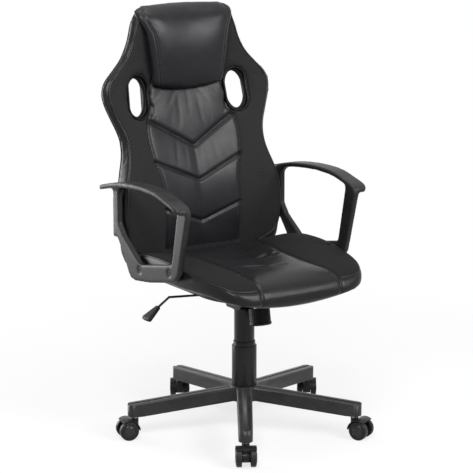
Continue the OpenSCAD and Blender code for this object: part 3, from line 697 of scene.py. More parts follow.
def press_front(tree: BVHTree, line: Sequence[Pair], rounds: int, depth: float = 200.0) -> Path:
    """Draws a line on a cover from the front.

    Args:
        tree: The cover's search tree.
        line: The line's corners as (x, z) in mm.
        rounds: How many times it is smoothed.
        depth: A depth inside the cover, in mm.

    Returns:
        The line's points on the cover.
    """
    flat = spread(line, 4, rounds)
    return project(tree, np.column_stack([flat[:, 0], np.full(len(flat), depth), flat[:, 1]]), REARWARD)


def best_of(points: np.ndarray, score: np.ndarray, axis: int, at: float) -> np.ndarray:
    """Finds the best point in a thin slice.

    Args:
        points: The points in mm, one row each.
        score: Their scores.
        axis: The axis across the slice.
        at: The slice's place on it in mm.

    Returns:
        The point with the highest score.
    """
    near = np.where(np.abs(points[:, axis] - at) < 4.5)[0]
    return points[near[np.argmax(score[near])]]


def unit_rows(rows: np.ndarray) -> np.ndarray:
    """Gives each row the length 1."""
    return rows / (np.linalg.norm(rows, axis=1)[:, None] + 1e-9)


@dataclass
class Nearness:
    """How points stand to a path.

    Attributes:
        distance: Distance of each point in mm.
        along: Length along the path to the place nearest to it, in mm.
        offset: The way from that place to the point, in mm.
        segment: Number of the path's nearest segment.
    """

    distance: np.ndarray
    along: np.ndarray
    offset: np.ndarray
    segment: np.ndarray

    def signed(self, way: np.ndarray) -> np.ndarray:
        """Gives the distances, negative on the side that a direction at each point leads away from."""
        return np.where((self.offset * way).sum(1) > 0, self.distance, -self.distance)


def nearness(points: np.ndarray, path: Path, far_off: float = 90.0, samples: int = 24) -> Nearness:
    """Measures points against a path.

    Args:
        points: The points in mm, one row each.
        path: The path's points in mm, one row each.
        far_off: Distance in mm past which a point is only measured roughly.
        samples: Places on the path that the rough measure uses.

    Returns:
        How the points stand to the path.
    """
    best = np.full(len(points), np.inf)
    along = np.zeros(len(points))
    offset = np.zeros_like(points)
    segment = np.zeros(len(points), int)
    passed = 0.0
    near = np.linalg.norm(points[:, None, :] - path[None, :: max(1, len(path) // samples), :], axis=2).min(1)
    pick = np.where(near < far_off)[0]
    chosen = points[pick]
    far = np.setdiff1d(np.arange(len(points)), pick)
    best[far] = near[far]
    for i in range(len(path) - 1):
        a, b = path[i], path[i + 1]
        run = b - a
        length = np.linalg.norm(run)
        share = np.clip((chosen - a) @ run / (length * length + 1e-12), 0, 1)
        apart = chosen - (a + share[:, None] * run)
        size = np.linalg.norm(apart, axis=1)
        closer = size < best[pick]
        where = pick[closer]
        best[where] = size[closer]
        along[where] = passed + share[closer] * length
        offset[where] = apart[closer]
        segment[where] = i
        passed += length
    return Nearness(best, along, offset, segment)


def inside(points: np.ndarray, outline: Path) -> np.ndarray:
    """Tells which flat points lie in a closed outline.

    Args:
        points: Two columns of coordinates.
        outline: Corners of the outline in the same two coordinates.

    Returns:
        True for each point inside.
    """
    result = np.zeros(len(points), bool)
    x, y = points[:, 0], points[:, 1]
    for (x0, y0), (x1, y1) in zip(outline, np.roll(outline, -1, 0)):
        crosses = (y0 > y) != (y1 > y)
        edge = (x1 - x0) * (y - y0) / ((y1 - y0) or 1e-9) + x0
        result ^= crosses & (x < edge)
    return result


def attribute(piece: Piece, name: str, values: np.ndarray) -> None:
    """Writes one number for each of a piece's points, for its material to read."""
    layer = piece.data.attributes.new(name, "FLOAT", "POINT")
    layer.data.foreach_set("value", values.astype(np.float32))


def tube(name: str, path: Path, radius: float, closed: bool = False, sides: int = 2) -> Piece:
    """Makes a round cord along a path.

    Args:
        name: Name of the piece.
        path: Points in mm, one row each.
        radius: Radius in mm.
        closed: Whether the cord joins up with itself.
        sides: Extra points on each quarter of its outline.

    Returns:
        The cord as a mesh piece.
    """
    curve = bpy.data.curves.new(name, "CURVE")
    curve.dimensions = "3D"
    curve.bevel_depth = radius * MM
    curve.bevel_resolution = sides
    curve.use_fill_caps = not closed
    spline = curve.splines.new("POLY")
    spline.points.add(len(path) - 1)
    flat = np.hstack([path * MM, np.ones((len(path), 1))])
    spline.points.foreach_set("co", flat.ravel())
    spline.use_cyclic_u = closed
    maker = bpy.data.objects.new(name, curve)
    bpy.context.scene.collection.objects.link(maker)
    bpy.context.view_layer.update()
    graph = bpy.context.evaluated_depsgraph_get()
    mesh = bpy.data.meshes.new_from_object(maker.evaluated_get(graph))
    bpy.data.objects.remove(maker)
    shape = bmesh.new()
    shape.from_mesh(mesh)
    bpy.data.meshes.remove(mesh)
    bmesh.ops.remove_doubles(shape, verts=shape.verts[:], dist=0.005 * MM)
    bmesh.ops.recalc_face_normals(shape, faces=shape.faces[:])
    return new_piece(name, shape)


def stitches(name: str, tree: BVHTree, path: Path, pitch: float = 6.5, length: float = 4.6) -> Piece:
    """Lays a row of thread stitches on a surface.

    Args:
        name: Name of the piece.
        tree: The surface's search tree.
        path: The row's points in mm, one row each.
        pitch: Distance from stitch to stitch in mm.
        length: Length of a stitch in mm.

    Returns:
        The row as one piece.
    """
    row = spread(path, pitch)
    shape = bmesh.new()
    for a, b in zip(row, row[1:]):
        middle, normal = tree.find_nearest(Vector((a + b) / 2) * MM)[:2]
        run = Vector(b - a).normalized()
        place = Matrix.Translation(middle + normal * 0.35 * MM) @ turn_to(run)
        bmesh.ops.create_cone(
            shape,
            cap_ends=True,
            segments=6,
            radius1=0.75 * MM,
            radius2=0.75 * MM,
            depth=length * MM,
            matrix=place,
        )
    return new_piece(name, shape)


def room(points: np.ndarray, nodes: Sequence[str], most: float, gap: float = 1.0) -> np.ndarray:
    """Finds how far points may move before they come near neighbouring solids.

    Args:
        points: The points in mm, one row each.
        nodes: Names of the neighbouring CAD nodes.
        most: The most a point may move, in mm.
        gap: Clearance that is kept, in mm.

    Returns:
        The room of each point in mm.
    """
    shape = bmesh.new()
    for node in nodes:
        shape.from_mesh(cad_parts[node].data)
    tree = BVHTree.FromBMesh(shape)
    shape.free()
    reach = (most + gap) * MM
    free = np.full(len(points), float(most))
    for i, point in enumerate(points):
        distance = tree.find_nearest(Vector(point) * MM, reach)[3]
        if distance is not None:
            free[i] = max(0.0, distance / MM - gap)
    return free


def swell(piece: Piece, free: np.ndarray, held: np.ndarray, pressure: float, frames: int = 20) -> None:
    """Blows a pad up as cloth between its sewn lines and keeps each point within its room.

    Args:
        piece: The pad, already remeshed.
        free: How far each point may go, in mm.
        held: How firmly each point is held, 0 to 1.
        pressure: Air pressure of the cloth.
        frames: Frames of simulation.
    """
    before = places(piece)
    group = piece.vertex_groups.new(name="held")
    levels = np.round(held, 1)
    for level in np.unique(levels[levels > 0]):
        group.add(np.where(levels == level)[0].tolist(), float(level), "REPLACE")
    cloth = piece.modifiers.new("pad", "CLOTH")
    cloth.settings.vertex_group_mass = "held"
    cloth.settings.use_pressure = True
    cloth.settings.uniform_pressure_force = pressure
    cloth.settings.effector_weights.gravity = 0.0
    cloth.settings.quality = 4
    cloth.point_cache.frame_start = 1
    cloth.point_cache.frame_end = frames
    scene = bpy.context.scene
    for at in range(1, frames + 1):
        scene.frame_set(at)
    settle(piece)
    scene.frame_set(1)
    piece.vertex_groups.clear()
    shift = places(piece) - before
    size = np.linalg.norm(shift, axis=1)
    limit = free * np.tanh(size / np.maximum(free, 0.01))
    move_to(piece, before + shift * (limit / np.maximum(size, 1e-6))[:, None])


def puff(cover: Piece, lines: Sequence[Path], free: np.ndarray, grip: Pair, pressure: float) -> None:
    """Swells a remeshed cover between its sewn lines and divides its faces once.

    Args:
        cover: The cover.
        lines: Its sewn lines.
        free: How far each of its points may go, in mm.
        grip: How firmly a line holds, and the distance in mm over which its hold falls by 1.
        pressure: Air pressure of the cloth.
    """
    points = places(cover)
    sewn = np.min([nearness(points, line).distance for line in lines], axis=0)
    held = np.clip(grip[0] - sewn / grip[1], 0, 1)
    held[free < 0.5] = 1
    swell(cover, free, held, pressure)
    subdivide(cover)


def groove(distance: np.ndarray, depth: float, width: float) -> np.ndarray:
    """Depth in mm at a distance from a sewn line, as a rounded channel."""
    return depth * np.exp(-((distance / width) ** 2))


def finish_piece(piece: Piece, body: str, finish: Finish) -> None:
    """Gives a new piece its material and body.

    Args:
        piece: The piece.
        body: The CAD body it moves with.
        finish: Its finish.
    """
    piece.data.materials.clear()
    piece.data.materials.append(material_of(finish))
    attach(piece, body)
    LOG.info("%s: %d points on %s", piece.name, len(piece.data.vertices), body)


def piping(name: str, path: Path, radius: float, **shape: bool | int) -> None:
    """Sews a cord of piping on the upholstery.

    Args:
        name: Name of the piece.
        path: Its middle line in mm, one row for each point.
        radius: Its radius in mm.
        **shape: The other arguments of tube().
    """
    finish_piece(tube(name, path, radius, **shape), "seat", PIPING)


# ---------------------------------------------------------------- solids that keep their CAD shape


class Edge(Enum):
    """Width of the rounding along a solid's edges, in mm."""

    NONE = 0.0
    CLIP = 0.2
    TURNED = 0.3
    BOLT = 0.4
    TUBE = 0.5
    BOARD = 0.6
    TREAD = 0.8
    MOULDED = 1.2


def soften(node: str, edge: Edge, finish: Finish) -> None:
    """Gives a CAD node its material and rounds its sharp edges with modifiers.

    Args:
        node: Name of the CAD node.
        edge: The rounding of its edges.
        finish: Its finish.
    """
    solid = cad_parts[node]
    if not solid.material_slots:
        solid.data.materials.append(material_of(finish))
    for slot in solid.material_slots:
        slot.material = material_of(finish)
    weld = solid.modifiers.new("joined", "WELD")
    weld.merge_threshold = WELD_GAP * MM
    if edge is not Edge.NONE:
        bevel = solid.modifiers.new("rounded", "BEVEL")
        bevel.width = edge.value * MM
        bevel.segments = 2
        bevel.limit_method = "ANGLE"
        bevel.angle_limit = math.radians(34)
        bevel.harden_normals = False
        bevel.use_clamp_overlap = True
    LOG.info("%s: CAD solid in %s", node, finish.name)


def dress_solids() -> None:
    """Gives every solid that keeps its shape its edges and its finish."""
    groups = [
        (Edge.TUBE, COLUMN_PAINT, ["gas_tube"]),
        (Edge.TUBE, COLUMN_PLASTIC, ["lower_cover", "middle_cover", "upper_cover"]),
        (Edge.TURNED, BUSH_PLASTIC, ["guide_bush"]),
        (Edge.TURNED, GROUND_STEEL, ["piston_rod"]),
        (Edge.BOLT, GROUND_STEEL, ["gas_cylinder"]),
        (Edge.CLIP, ZINC, ["retaining_clip"]),
        (Edge.TURNED, ZINC, ["thrust_bearing", "release_button", "tension_bolt", "thrust_washer", "seat_bolts"]),
        (Edge.BOLT, ZINC, ["tilt_axle", "arm_back_bolts"]),
        (Edge.BOLT, BLACK_OXIDE, ["arm_seat_bolts"]),
        (Edge.MOULDED, MECHANISM_PAINT, ["tilt_housing", "seat_plate"]),
        (Edge.TURNED, MECHANISM_PAINT, ["lever_rod"]),
        (Edge.TURNED, GRIP_PLASTIC, ["lever_bush"]),
        (Edge.MOULDED, GRIP_PLASTIC, ["lever_handle", "tension_knob"]),
        (Edge.MOULDED, TRIM_PLASTIC, ["strap_trim_left", "strap_trim_right"]),
        (Edge.BOARD, SHADE_DARK_PLY, ["seat_board"]),
        (Edge.NONE, BOARD_PLY, ["back_board"]),
        (Edge.BOLT, LINING, ["seat_underside_cover"]),
    ]
    for number in CASTERS:
        caster = f"caster_{number}_"
        groups += [
            (Edge.MOULDED, HOOD_NYLON, [caster + "hood"]),
            (Edge.BOLT, ZINC, [caster + "stem"]),
            (Edge.TURNED, ZINC, [caster + "axle"]),
            (Edge.TREAD, WHEEL_NYLON, [caster + "wheel_a", caster + "wheel_b"]),
        ]
    for edge, finish, nodes in groups:
        for node in nodes:
            soften(node, edge, finish)


# ---------------------------------------------------------------- base and column


@dataclass
class StarBase:
    """Five-arm base: its moulding with the shoulders and the ends of the arms rounded.

    Attributes:
        shoulder: Radius along the top edges of the arms in mm.
        end: Radius of the upright edges at the arms' ends in mm.
        end_radius: Distance from the column's axis past which an edge counts as an arm's end, in mm.
        hub_radius: Distance from the column's axis within which the edges stay as they are, in mm.
        shortest: Length in mm below which an edge stays as it is.
    """

    shoulder: float = 5.0
    end: float = 9.0
    end_radius: float = 285.0
    hub_radius: float = 50.0
    shortest: float = 9.0

    def build(self) -> None:
        """Makes the moulding."""
        shape = cad_copy(["five_star_base"])
        bmesh.ops.dissolve_limit(shape, angle_limit=math.radians(2), verts=shape.verts[:], edges=shape.edges[:])
        for chosen, radius in ((self.is_end, self.end), (self.is_top, self.shoulder)):
            bmesh.ops.bevel(
                shape,
                geom=[edge for edge in shape.edges if self.is_corner(edge) and chosen(edge)],
                offset=radius * MM,
                segments=4,
                profile=0.5,
                affect="EDGES",
                clamp_overlap=True,
                material=-1,
            )
        bmesh.ops.triangulate(shape, faces=[face for face in shape.faces if len(face.verts) > 4])
        base = new_piece("base_moulding", shape)
        base.data.set_sharp_from_angle(angle=math.radians(32))
        finish_piece(base, "base", BASE_PLASTIC)
        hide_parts("five_star_base")

    def is_corner(self, edge: bmesh.types.BMEdge) -> bool:
        """Tells whether an edge is a long outward corner of the moulding."""
        sharp = edge.is_manifold and edge.calc_face_angle_signed() > math.radians(25)
        return sharp and edge.calc_length() > self.shortest * MM

    def is_end(self, edge: bmesh.types.BMEdge) -> bool:
        """Tells whether an edge stands upright at an arm's end."""
        low, high = (vert.co for vert in edge.verts)
        return abs((low - high).normalized().z) > 0.8 and ((low + high) / 2).xy.length > self.end_radius * MM

    def is_top(self, edge: bmesh.types.BMEdge) -> bool:
        """Tells whether an edge runs round the top of an arm."""
        low, high = (vert.co for vert in edge.verts)
        slopes = sorted(face.normal.z for face in edge.link_faces)
        return slopes[1] > 0.4 and slopes[0] > -0.3 and ((low + high) / 2).xy.length > self.hub_radius * MM


@dataclass
class TensionCoil:
    """Tilt spring: a copy of the CAD spring, left as it stands.

    Attributes:
        top: Middle of its upper end in mm. Not used.
        foot: Middle of its lower end in mm. Not used.
    """

    top: Point = (0.0, -67.05, 351.4)
    foot: Point = (0.0, -74.3, 310.3)

    def build(self) -> None:
        """Makes the coil."""
        coil = new_piece("tension_coil", cad_copy(["tension_spring"]))
        coil.data.materials.append(material_of(ZINC))
        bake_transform(coil)
        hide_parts("tension_spring")
        LOG.info("%s: bends from the mechanism to the seat", coil.name)


@dataclass
class WheelCaps:
    """Discs on the casters' wheels: a shallow turned cap with a ring round it.

    Attributes:
        profile: Radius and height of the turned outline over the wheel's face, from the middle out, in mm.
        steps: Steps of the turning.
        sink: How far the cap is let into the wheel's face, in mm.
    """

    profile: Sequence[Pair] = (
        *((0.0, 2.6), (7.0, 2.4), (11.6, 1.7), (12.6, 0.6), (13.6, 0.4)),
        *((14.4, 1.5), (16.2, 1.7), (17.4, 0.6), (17.6, -1.2), (0.0, -1.2)),
    )
    steps: int = 40
    sink: float = 1.0

    def build(self) -> None:
        """Makes one cap for each wheel."""
        for number in CASTERS:
            centres = {side: middle_of(f"caster_{number}_wheel_{side}") for side in "ab"}
            for side, other in ("ab", "ba"):
                self.turn(number, side, centres[side], (centres[side] - centres[other]).normalized())

    def turn(self, number: int, side: str, centre: Vector, way: Vector) -> None:
        """Turns one cap and puts it on its wheel.

        Args:
            number: The caster's number.
            side: The wheel, "a" or "b".
            centre: Middle of the wheel.
            way: The wheel's outward axis.
        """
        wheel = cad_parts[f"caster_{number}_wheel_{side}"].data
        reach = max((vert.co - centre).dot(way) for vert in wheel.vertices)
        shape = bmesh.new()
        line = [shape.verts.new((radius * MM, 0, height * MM)) for radius, height in self.profile]
        edges = [shape.edges.new(pair) for pair in zip(line, line[1:])]
        bmesh.ops.spin(
            shape,
            geom=line + edges,
            cent=(0, 0, 0),
            axis=(0, 0, 1),
            angle=math.tau,
            steps=self.steps,
            use_merge=True,
        )
        bmesh.ops.remove_doubles(shape, verts=shape.verts[:], dist=0.02 * MM)
        bmesh.ops.recalc_face_normals(shape, faces=shape.faces[:])
        place = Matrix.Translation(centre + way * (reach - self.sink * MM)) @ turn_to(way)
        bmesh.ops.transform(shape, matrix=place, verts=shape.verts[:])
        cap = new_piece(f"caster_{number}_cap_{side}", shape)
        cap.data.set_sharp_from_angle(angle=math.radians(40))
        finish_piece(cap, f"caster_{number}_roller_{side}", CAP_NYLON)


# ---------------------------------------------------------------- strap holes


@dataclass
class StrapRim:
    """Rolled rubber lip that leaves a strap hole its pointed oval opening.

    Attributes:
        side: -1 or 1.
        opening: Half-width and half-height of the oval in mm.
        slot: Half-width and half-height of the hole in the trim in mm.
        depth: Depth of the lip in mm.
        turns: Lean, yaw and tilt of the hole in degrees.
        section: The lip's outline: how far in from the slot's wall, 0 to 1, and how deep, -0.5 to 0.5.
        steps: Points on each ring of the lip.
    """

    side: int
    opening: Pair = (25.5, 50.0)
    slot: Pair = (32.5, 58.0)
    depth: float = 20.0
    turns: Point = (12.5, 7.5, 5.0)
    section: Sequence[Pair] = ((0.0, -0.5), (0.72, -0.42), (1.0, 0.0), (0.72, 0.42), (0.0, 0.5))
    steps: int = 72

    def build(self) -> None:
        """Makes the lip."""
        word = side_word(self.side)
        lean, yaw, tilt = [math.radians(angle) for angle in self.turns]
        turn = (
            Matrix.Rotation(-yaw * self.side, 4, "Z")
            @ Matrix.Rotation(-math.pi / 2 - lean, 4, "X")
            @ Matrix.Rotation(-tilt * self.side, 4, "Z")
        )
        shape = bmesh.new()
        angles = [math.tau * step / self.steps for step in range(self.steps)]
        rings = [
            [shape.verts.new((*self.outline(angle, share), level * self.depth * MM)) for angle in angles]
            for share, level in self.section
        ]
        for ring, after in zip(rings, rings[1:] + rings[:1]):
            pairs = [pair for points in (ring, after) for pair in zip(points, points[1:] + points[:1])]
            bmesh.ops.bridge_loops(shape, edges=[shape.edges.get(p) or shape.edges.new(p) for p in pairs])
        bmesh.ops.recalc_face_normals(shape, faces=shape.faces[:])
        place = Matrix.Translation(middle_of(f"strap_trim_{word}")) @ turn
        bmesh.ops.transform(shape, matrix=place, verts=shape.verts[:])
        lip = new_piece(f"strap_lip_{word}", shape)
        subdivide(lip)
        finish_piece(lip, "seat", LIP_RUBBER)

    def outline(self, angle: float, share: float) -> Pair:
        """Gives a point between the slot and the oval.

        Args:
            angle: Angle round the hole.
            share: 0 on the slot's wall, 1 on the oval.

        Returns:
            The point's two coordinates in metres.
        """
        cos, sin = math.cos(angle), math.sin(angle)
        wide, tall = self.slot
        straight = tall - wide
        if abs(cos) * straight > abs(sin) * wide:
            reach = wide / abs(cos)
        else:
            reach = straight * abs(sin) + math.sqrt(max(wide**2 - (straight * cos) ** 2, 0.0))
        oval = 1 / math.sqrt((cos / self.opening[0]) ** 2 + (sin / self.opening[1]) ** 2)
        radius = reach + (min(oval, reach - 0.5) - reach) * share
        return radius * cos * MM, radius * sin * MM


# ---------------------------------------------------------------- seat


@dataclass
class SeatCushion:
    """Seat cushion: a leatherette centre that rolls over the nose, mesh bolsters and a leatherette boxing.

    Attributes:
        voxel: Size of the remeshed quads in mm.
        crown: The most that the cover swells, in mm.
        deck: Height of the cushion's top in mm.
        nose: Height of the nose seams' ends in mm, from above the deck down.
        seam_groove: Depth and half-width of the seams' grooves in mm.
        welt_groove: Depth and half-width of the welts' grooves in mm.
        grip: How firmly a seam holds, and the distance over which its hold falls by 1, in mm.
        pressure: Air pressure of the cloth.
        seam: Half-width and depth of the centre panel's seams, as (x, y) from the nose to the rear.
        welt: Plan of the welt along a bolster's outer edge, as (x, y) from the rear to the nose.
        wrinkles: Creases at the centre panel's rear, as the (x, y) of both ends and a depth.
    """

    voxel: float = 5.5
    crown: float = 7.0
    deck: float = 440.0
    nose: Pair = (446.0, 398.0)
    seam_groove: Pair = (3.2, 4.5)
    welt_groove: Pair = (1.5, 5.0)
    grip: Pair = (1.3, 7.0)
    pressure: float = 4.0
    seam: Sequence[Pair] = (
        *((119, -268), (119, -250), (113, -180), (108, -100)),
        *((114, 0), (130, 74), (138, 150), (140, 200)),
    )
    welt: Sequence[Pair] = (
        *((238, 186), (239, 120), (239, 0), (238, -100), (231, -140), (223, -175)),
        *((212, -205), (200, -230), (185, -243), (160, -251), (122, -256)),
    )
    wrinkles: Sequence[tuple[float, float, float, float, float]] = (
        *((-88, -86, -8, -118, 2.4), (-6, -122, 50, -124, 2.6), (8, -44, 84, 2, 2.8)),
        *((50, -30, 104, -6, 2.2), (-60, -66, -100, 6, 2.0), (-20, 30, 40, 60, 1.8)),
    )

    def nose_seam(self, side: int, tree: BVHTree) -> Path:
        """Follows one seam of the centre panel over the top and down the nose.

        Args:
            side: -1 or 1.
            tree: The cushion's search tree.

        Returns:
            The seam's points on the cover.
        """
        plan = spread([(side * x, y) for x, y in self.seam if y > -256], 4, 3)
        top = project(tree, np.column_stack([plan, np.full(len(plan), self.deck)]), DOWN)
        drop = np.array([[side * self.seam[0][0], -100.0, z] for z in np.arange(*self.nose, -4.0)])
        return spread(np.vstack([project(tree, drop, REARWARD)[::-1], top]), 4, 4)

    def welt_path(self, side: int, points: np.ndarray) -> Path:
        """Finds the welt's line where the top of the cover turns into its boxing.

        Args:
            side: -1 or 1.
            points: The cover's points in mm.

        Returns:
            The welt's centre line.
        """
        plan = spread([(side * x, y) for x, y in self.welt], 7, 2)
        found = []
        for i, here in enumerate(plan):
            run = plan[min(i + 1, len(plan) - 1)] - plan[max(i - 1, 0)]
            run = run / np.linalg.norm(run)
            out = np.array([run[1], -run[0]]) * side
            if out @ here < 0:
                out = -out
            apart = points[:, :2] - here
            near = points[(np.abs(apart @ run) < 4.5) & (np.abs(apart @ out) < 60) & (points[:, 2] > 405)]
            found.append(near[np.argmax((near[:, :2] - here) @ out + near[:, 2] * 1.15)])
        return spread(found, 6, 8)

    def creases(self, points: np.ndarray) -> np.ndarray:
        """Gives the depth of the centre panel's creases at each point, with a soft rise beside each, in mm."""
        flat = points * (1, 1, 0)
        depths = np.zeros(len(points))
        for x0, y0, x1, y1, depth in self.wrinkles:
            bend = ((x0 + x1) / 2, (y0 + y1) / 2 - 5, 0)
            near = nearness(flat, spread([(x0, y0, 0), bend, (x1, y1, 0)], 6, 3))
            fade = np.sin(np.clip(near.along / max(near.along.max(), 1), 0, 1) * math.pi)
            depths += fade * groove(near.distance, depth, 7.0)
            depths -= fade * groove(np.abs(near.distance - 13), depth * 0.45, 7.0)
        return depths

    def build(self) -> None:
        """Makes the cover with its seams and welts."""
        cover = new_piece("seat_cover", cad_copy(["seat_cushion"]))
        remesh(cover, self.voxel)
        points, tree = places(cover), surface(cover)
        seams = [self.nose_seam(side, tree) for side in SIDES]
        welts = [self.welt_path(side, points) for side in SIDES]
        free = room(points, ["seat_board", "left_arm", "right_arm", "arm_seat_bolts", "seat_plate"], self.crown)
        free[normals(cover)[:, 2] < -0.5] = 0
        puff(cover, seams + welts, free, self.grip, self.pressure)
        points, across = places(cover), normals(cover)
        tops = [nearness(points, line) for line in seams]
        sides = [nearness(points, line) for line in welts]
        sunk = sum(groove(near.distance, *self.seam_groove) for near in tops)
        sunk += sum(groove(near.distance, *self.welt_groove) for near in sides)
        sunk += np.where((points[:, 2] > self.deck) & (across[:, 2] > 0.5), self.creases(points), 0)
        move_to(cover, points - across * sunk[:, None])
        self.mark(cover, tops, sides, welts)
        finish_piece(cover, "seat", SEAT_COVER)
        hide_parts("seat_cushion")
        tree = surface(cover)
        for number, (seam, welt) in enumerate(zip(seams, welts), 1):
            bead = project(tree, seam[8:-4], DOWN, 60) + (0, 0, 0.4)
            piping(f"seat_seam_bead_{number}", bead, 1.5)
            piping(f"seat_welt_{number}", spread(nearest(tree, welt), 5, 3), 2.6, sides=3)

    def mark(self, cover: Piece, tops: list[Nearness], sides: list[Nearness], welts: list[Path]) -> None:
        """Writes on the cover where leatherette ends and mesh starts, and how far each point is from a seam.

        Args:
            cover: The cover.
            tops: How its points stand to the centre panel's seams.
            sides: How its points stand to the welts.
            welts: The welts.
        """
        points, across = places(cover), normals(cover)
        half = np.interp(points[:, 1], [y for _, y in self.seam], [x for x, _ in self.seam])
        centre = np.minimum(tops[0].distance, tops[1].distance)
        centre = np.where(np.abs(points[:, 0]) < half, centre, -centre)
        boxing = np.full(len(points), -90.0)
        for near, line in zip(sides, welts):
            out = unit_rows(np.cross(np.diff(line, axis=0)[near.segment], (0, 0, 1)))
            away = (line[near.segment] - (0, -20, 0)) * (1, 1, 0)
            outward = out * np.sign((out * away).sum(1))[:, None]
            boxing = np.maximum(boxing, near.signed(outward + DOWN))
        boxing[across[:, 2] < -0.4] = 60
        nose = (points[:, 1] < -240) & (np.abs(points[:, 0]) > half) & (across[:, 1] < -0.75)
        boxing[nose] = np.abs(boxing[nose])
        attribute(cover, "panel", np.maximum(centre, boxing))
        # The seam distance sets where the material paints shade into the grooves
        attribute(cover, "seam", np.min([near.distance for near in tops + sides], axis=0))


# ---------------------------------------------------------------- back


@dataclass
class BackRest:
    """Back: one cover over the front pad and the rear shell, with a leatherette centre cut by three chevrons.

    Attributes:
        voxel: Size of the remeshed quads in mm.
        crown: The most that the cover swells, in mm.
        crest: How far its top edge is drawn down under the headrest's lip, in mm.
        pinch: Share of its width that the top edge is drawn in by.
        centre: Height of the middle of the back in mm.
        leans: How much a place's depth counts against its reach, to find the front and the rear edge.
        heights: Lowest and highest place of the edges' sides in mm.
        cap: Half-length of the edges' top and bottom in mm.
        seam_groove: Depth and half-width of the seams' grooves in mm.
        edge_groove: Depth and half-width of the edges' grooves in mm.
        grip: How firmly a seam holds, and the distance over which its hold falls by 1, in mm.
        pressure: Air pressure of the cloth.
        seam: Half-width and height of the centre panel's seams, from the top down.
        chevrons: For each chevron its half-width, height at the ends, height at the point, depth and width.
        ridge: Half-width and height of the soft fold down each side panel.
    """

    voxel: float = 6.0
    crown: float = 9.0
    crest: float = 10.0
    pinch: float = 0.03
    centre: float = 760.0
    leans: Pair = (-2.4, 0.85)
    heights: Pair = (478.0, 1062.0)
    cap: float = 118.0
    seam_groove: Pair = (3.6, 4.5)
    edge_groove: Pair = (1.4, 5.0)
    grip: Pair = (1.3, 8.0)
    pressure: float = 5.0
    seam: Sequence[Pair] = (
        *((104, 905), (112, 878), (123, 842), (134, 794), (141, 762), (139, 720)),
        *((133, 687), (123, 658), (117, 620), (115, 560), (115, 455)),
    )
    chevrons: Sequence[tuple[float, float, float, float, float]] = (
        (133, 796, 720, 6.5, 5.5),
        (134, 689, 631, 5.5, 4.6),
        (116, 563, 521, 4.5, 4.4),
    )
    ridge: Sequence[Pair] = (
        *((150, 930), (190, 905), (216, 866), (214, 830)),
        *((203, 790), (192, 740), (186, 690), (190, 640)),
    )

    def edge(self, points: np.ndarray, lean: float) -> Path:
        """Finds the line where the front or the rear of the cover turns into its side band.

        Args:
            points: The cover's points in mm.
            lean: How much a place counts by its depth against its reach; negative for the front edge.

        Returns:
            The closed line round the back, from the lower right corner up.
        """
        columns = []
        for side in SIDES:
            score = points[:, 0] * side + points[:, 1] * lean
            columns.append([best_of(points, score, 2, height) for height in np.arange(*self.heights, 7.0)])
        caps = []
        for up in SIDES:
            score = points[:, 2] * up + points[:, 1] * lean
            score[(points[:, 2] - self.centre) * up <= 0] = -np.inf
            caps.append([best_of(points, score, 0, x) for x in np.arange(-self.cap, self.cap + 1, 8.0)])
        loop = columns[0] + caps[1] + columns[1][::-1] + caps[0][::-1]
        return spread(loop, 7, 10, closed=True)

    def draw_in(self, cover: Piece) -> None:
        """Lowers and narrows the cover's top edge."""
        points = places(cover)
        top = np.clip((points[:, 2] - 1056) / 40, 0, 1) ** 1.5
        points[:, 2] -= self.crest * top
        points[:, 0] *= 1 - self.pinch * top
        move_to(cover, points)

    def build(self) -> None:
        """Makes the cover with its channels, welts and bands."""
        cover = new_piece("back_cover", cad_copy(["back_cushion", "back_rear_cover", "back_board"]))
        remesh(cover, self.voxel)
        drop_inner(cover)
        self.draw_in(cover)
        points, across, tree = places(cover), normals(cover), surface(cover)
        seams = [press_front(tree, [(side * x, z) for x, z in self.seam], 5) for side in SIDES]
        cuts = [press_front(tree, [(-x, end), (0, point), (x, end)], 2) for x, end, point, _, _ in self.chevrons]
        edges = [self.edge(points, lean) for lean in self.leans]
        loops = [np.vstack([edge, edge[:1]]) for edge in edges]
        near = ["strap_trim_left", "strap_trim_right", "left_arm", "right_arm", "arm_back_bolts", "headrest_pad"]
        free = room(points, near, self.crown)
        free[across[:, 1] > 0.2] *= 0.35
        puff(cover, seams + cuts + loops, free, self.grip, self.pressure)
        points, across = places(cover), normals(cover)
        kinds = (seams, cuts, loops)
        by_seam, by_cut, by_loop = [[nearness(points, line) for line in lines] for lines in kinds]
        sunk = sum(groove(near.distance, *self.seam_groove) for near in by_seam)
        for near, (_, _, _, depth, width) in zip(by_cut, self.chevrons):
            sunk += groove(near.distance, depth, width)
        sunk += sum(groove(near.distance, *self.edge_groove) for near in by_loop)
        sunk += self.folds(points)
        move_to(cover, points - across * np.where(across[:, 1] < 0.1, sunk, 0)[:, None])
        self.mark(cover, by_seam, by_loop[0], loops[0])
        every = by_seam + by_cut + by_loop
        # The seam distance sets where the material paints shade into the grooves
        attribute(cover, "seam", np.min([near.distance for near in every], axis=0))
        finish_piece(cover, "seat", BACK_COVER)
        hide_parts("back_cushion", "back_rear_cover")
        tree = surface(cover)
        for name, edge in zip(("back_front_welt", "back_rear_welt"), edges):
            piping(name, spread(nearest(tree, edge), 6, 3, closed=True), 3.0, closed=True, sides=3)

    def folds(self, points: np.ndarray) -> np.ndarray:
        """Gives the depth of the soft creases of the front, negative for a ridge.

        Args:
            points: The cover's points in mm.

        Returns:
            The depth at each point in mm.
        """
        x, z = points[:, 0], points[:, 2]
        tall = np.clip((735 - z) / 20, 0, 1) * np.clip((z - 500) / 30, 0, 1)
        depth = groove(x, 2.6, 16.0) * tall
        flat = np.column_stack([x, z, np.zeros(len(x))])
        for side in SIDES:
            path = spread([(side * a, b, 0) for a, b in self.ridge], 8, 4)
            depth -= groove(nearness(flat, path).distance, 3.0, 16.0)
        return depth

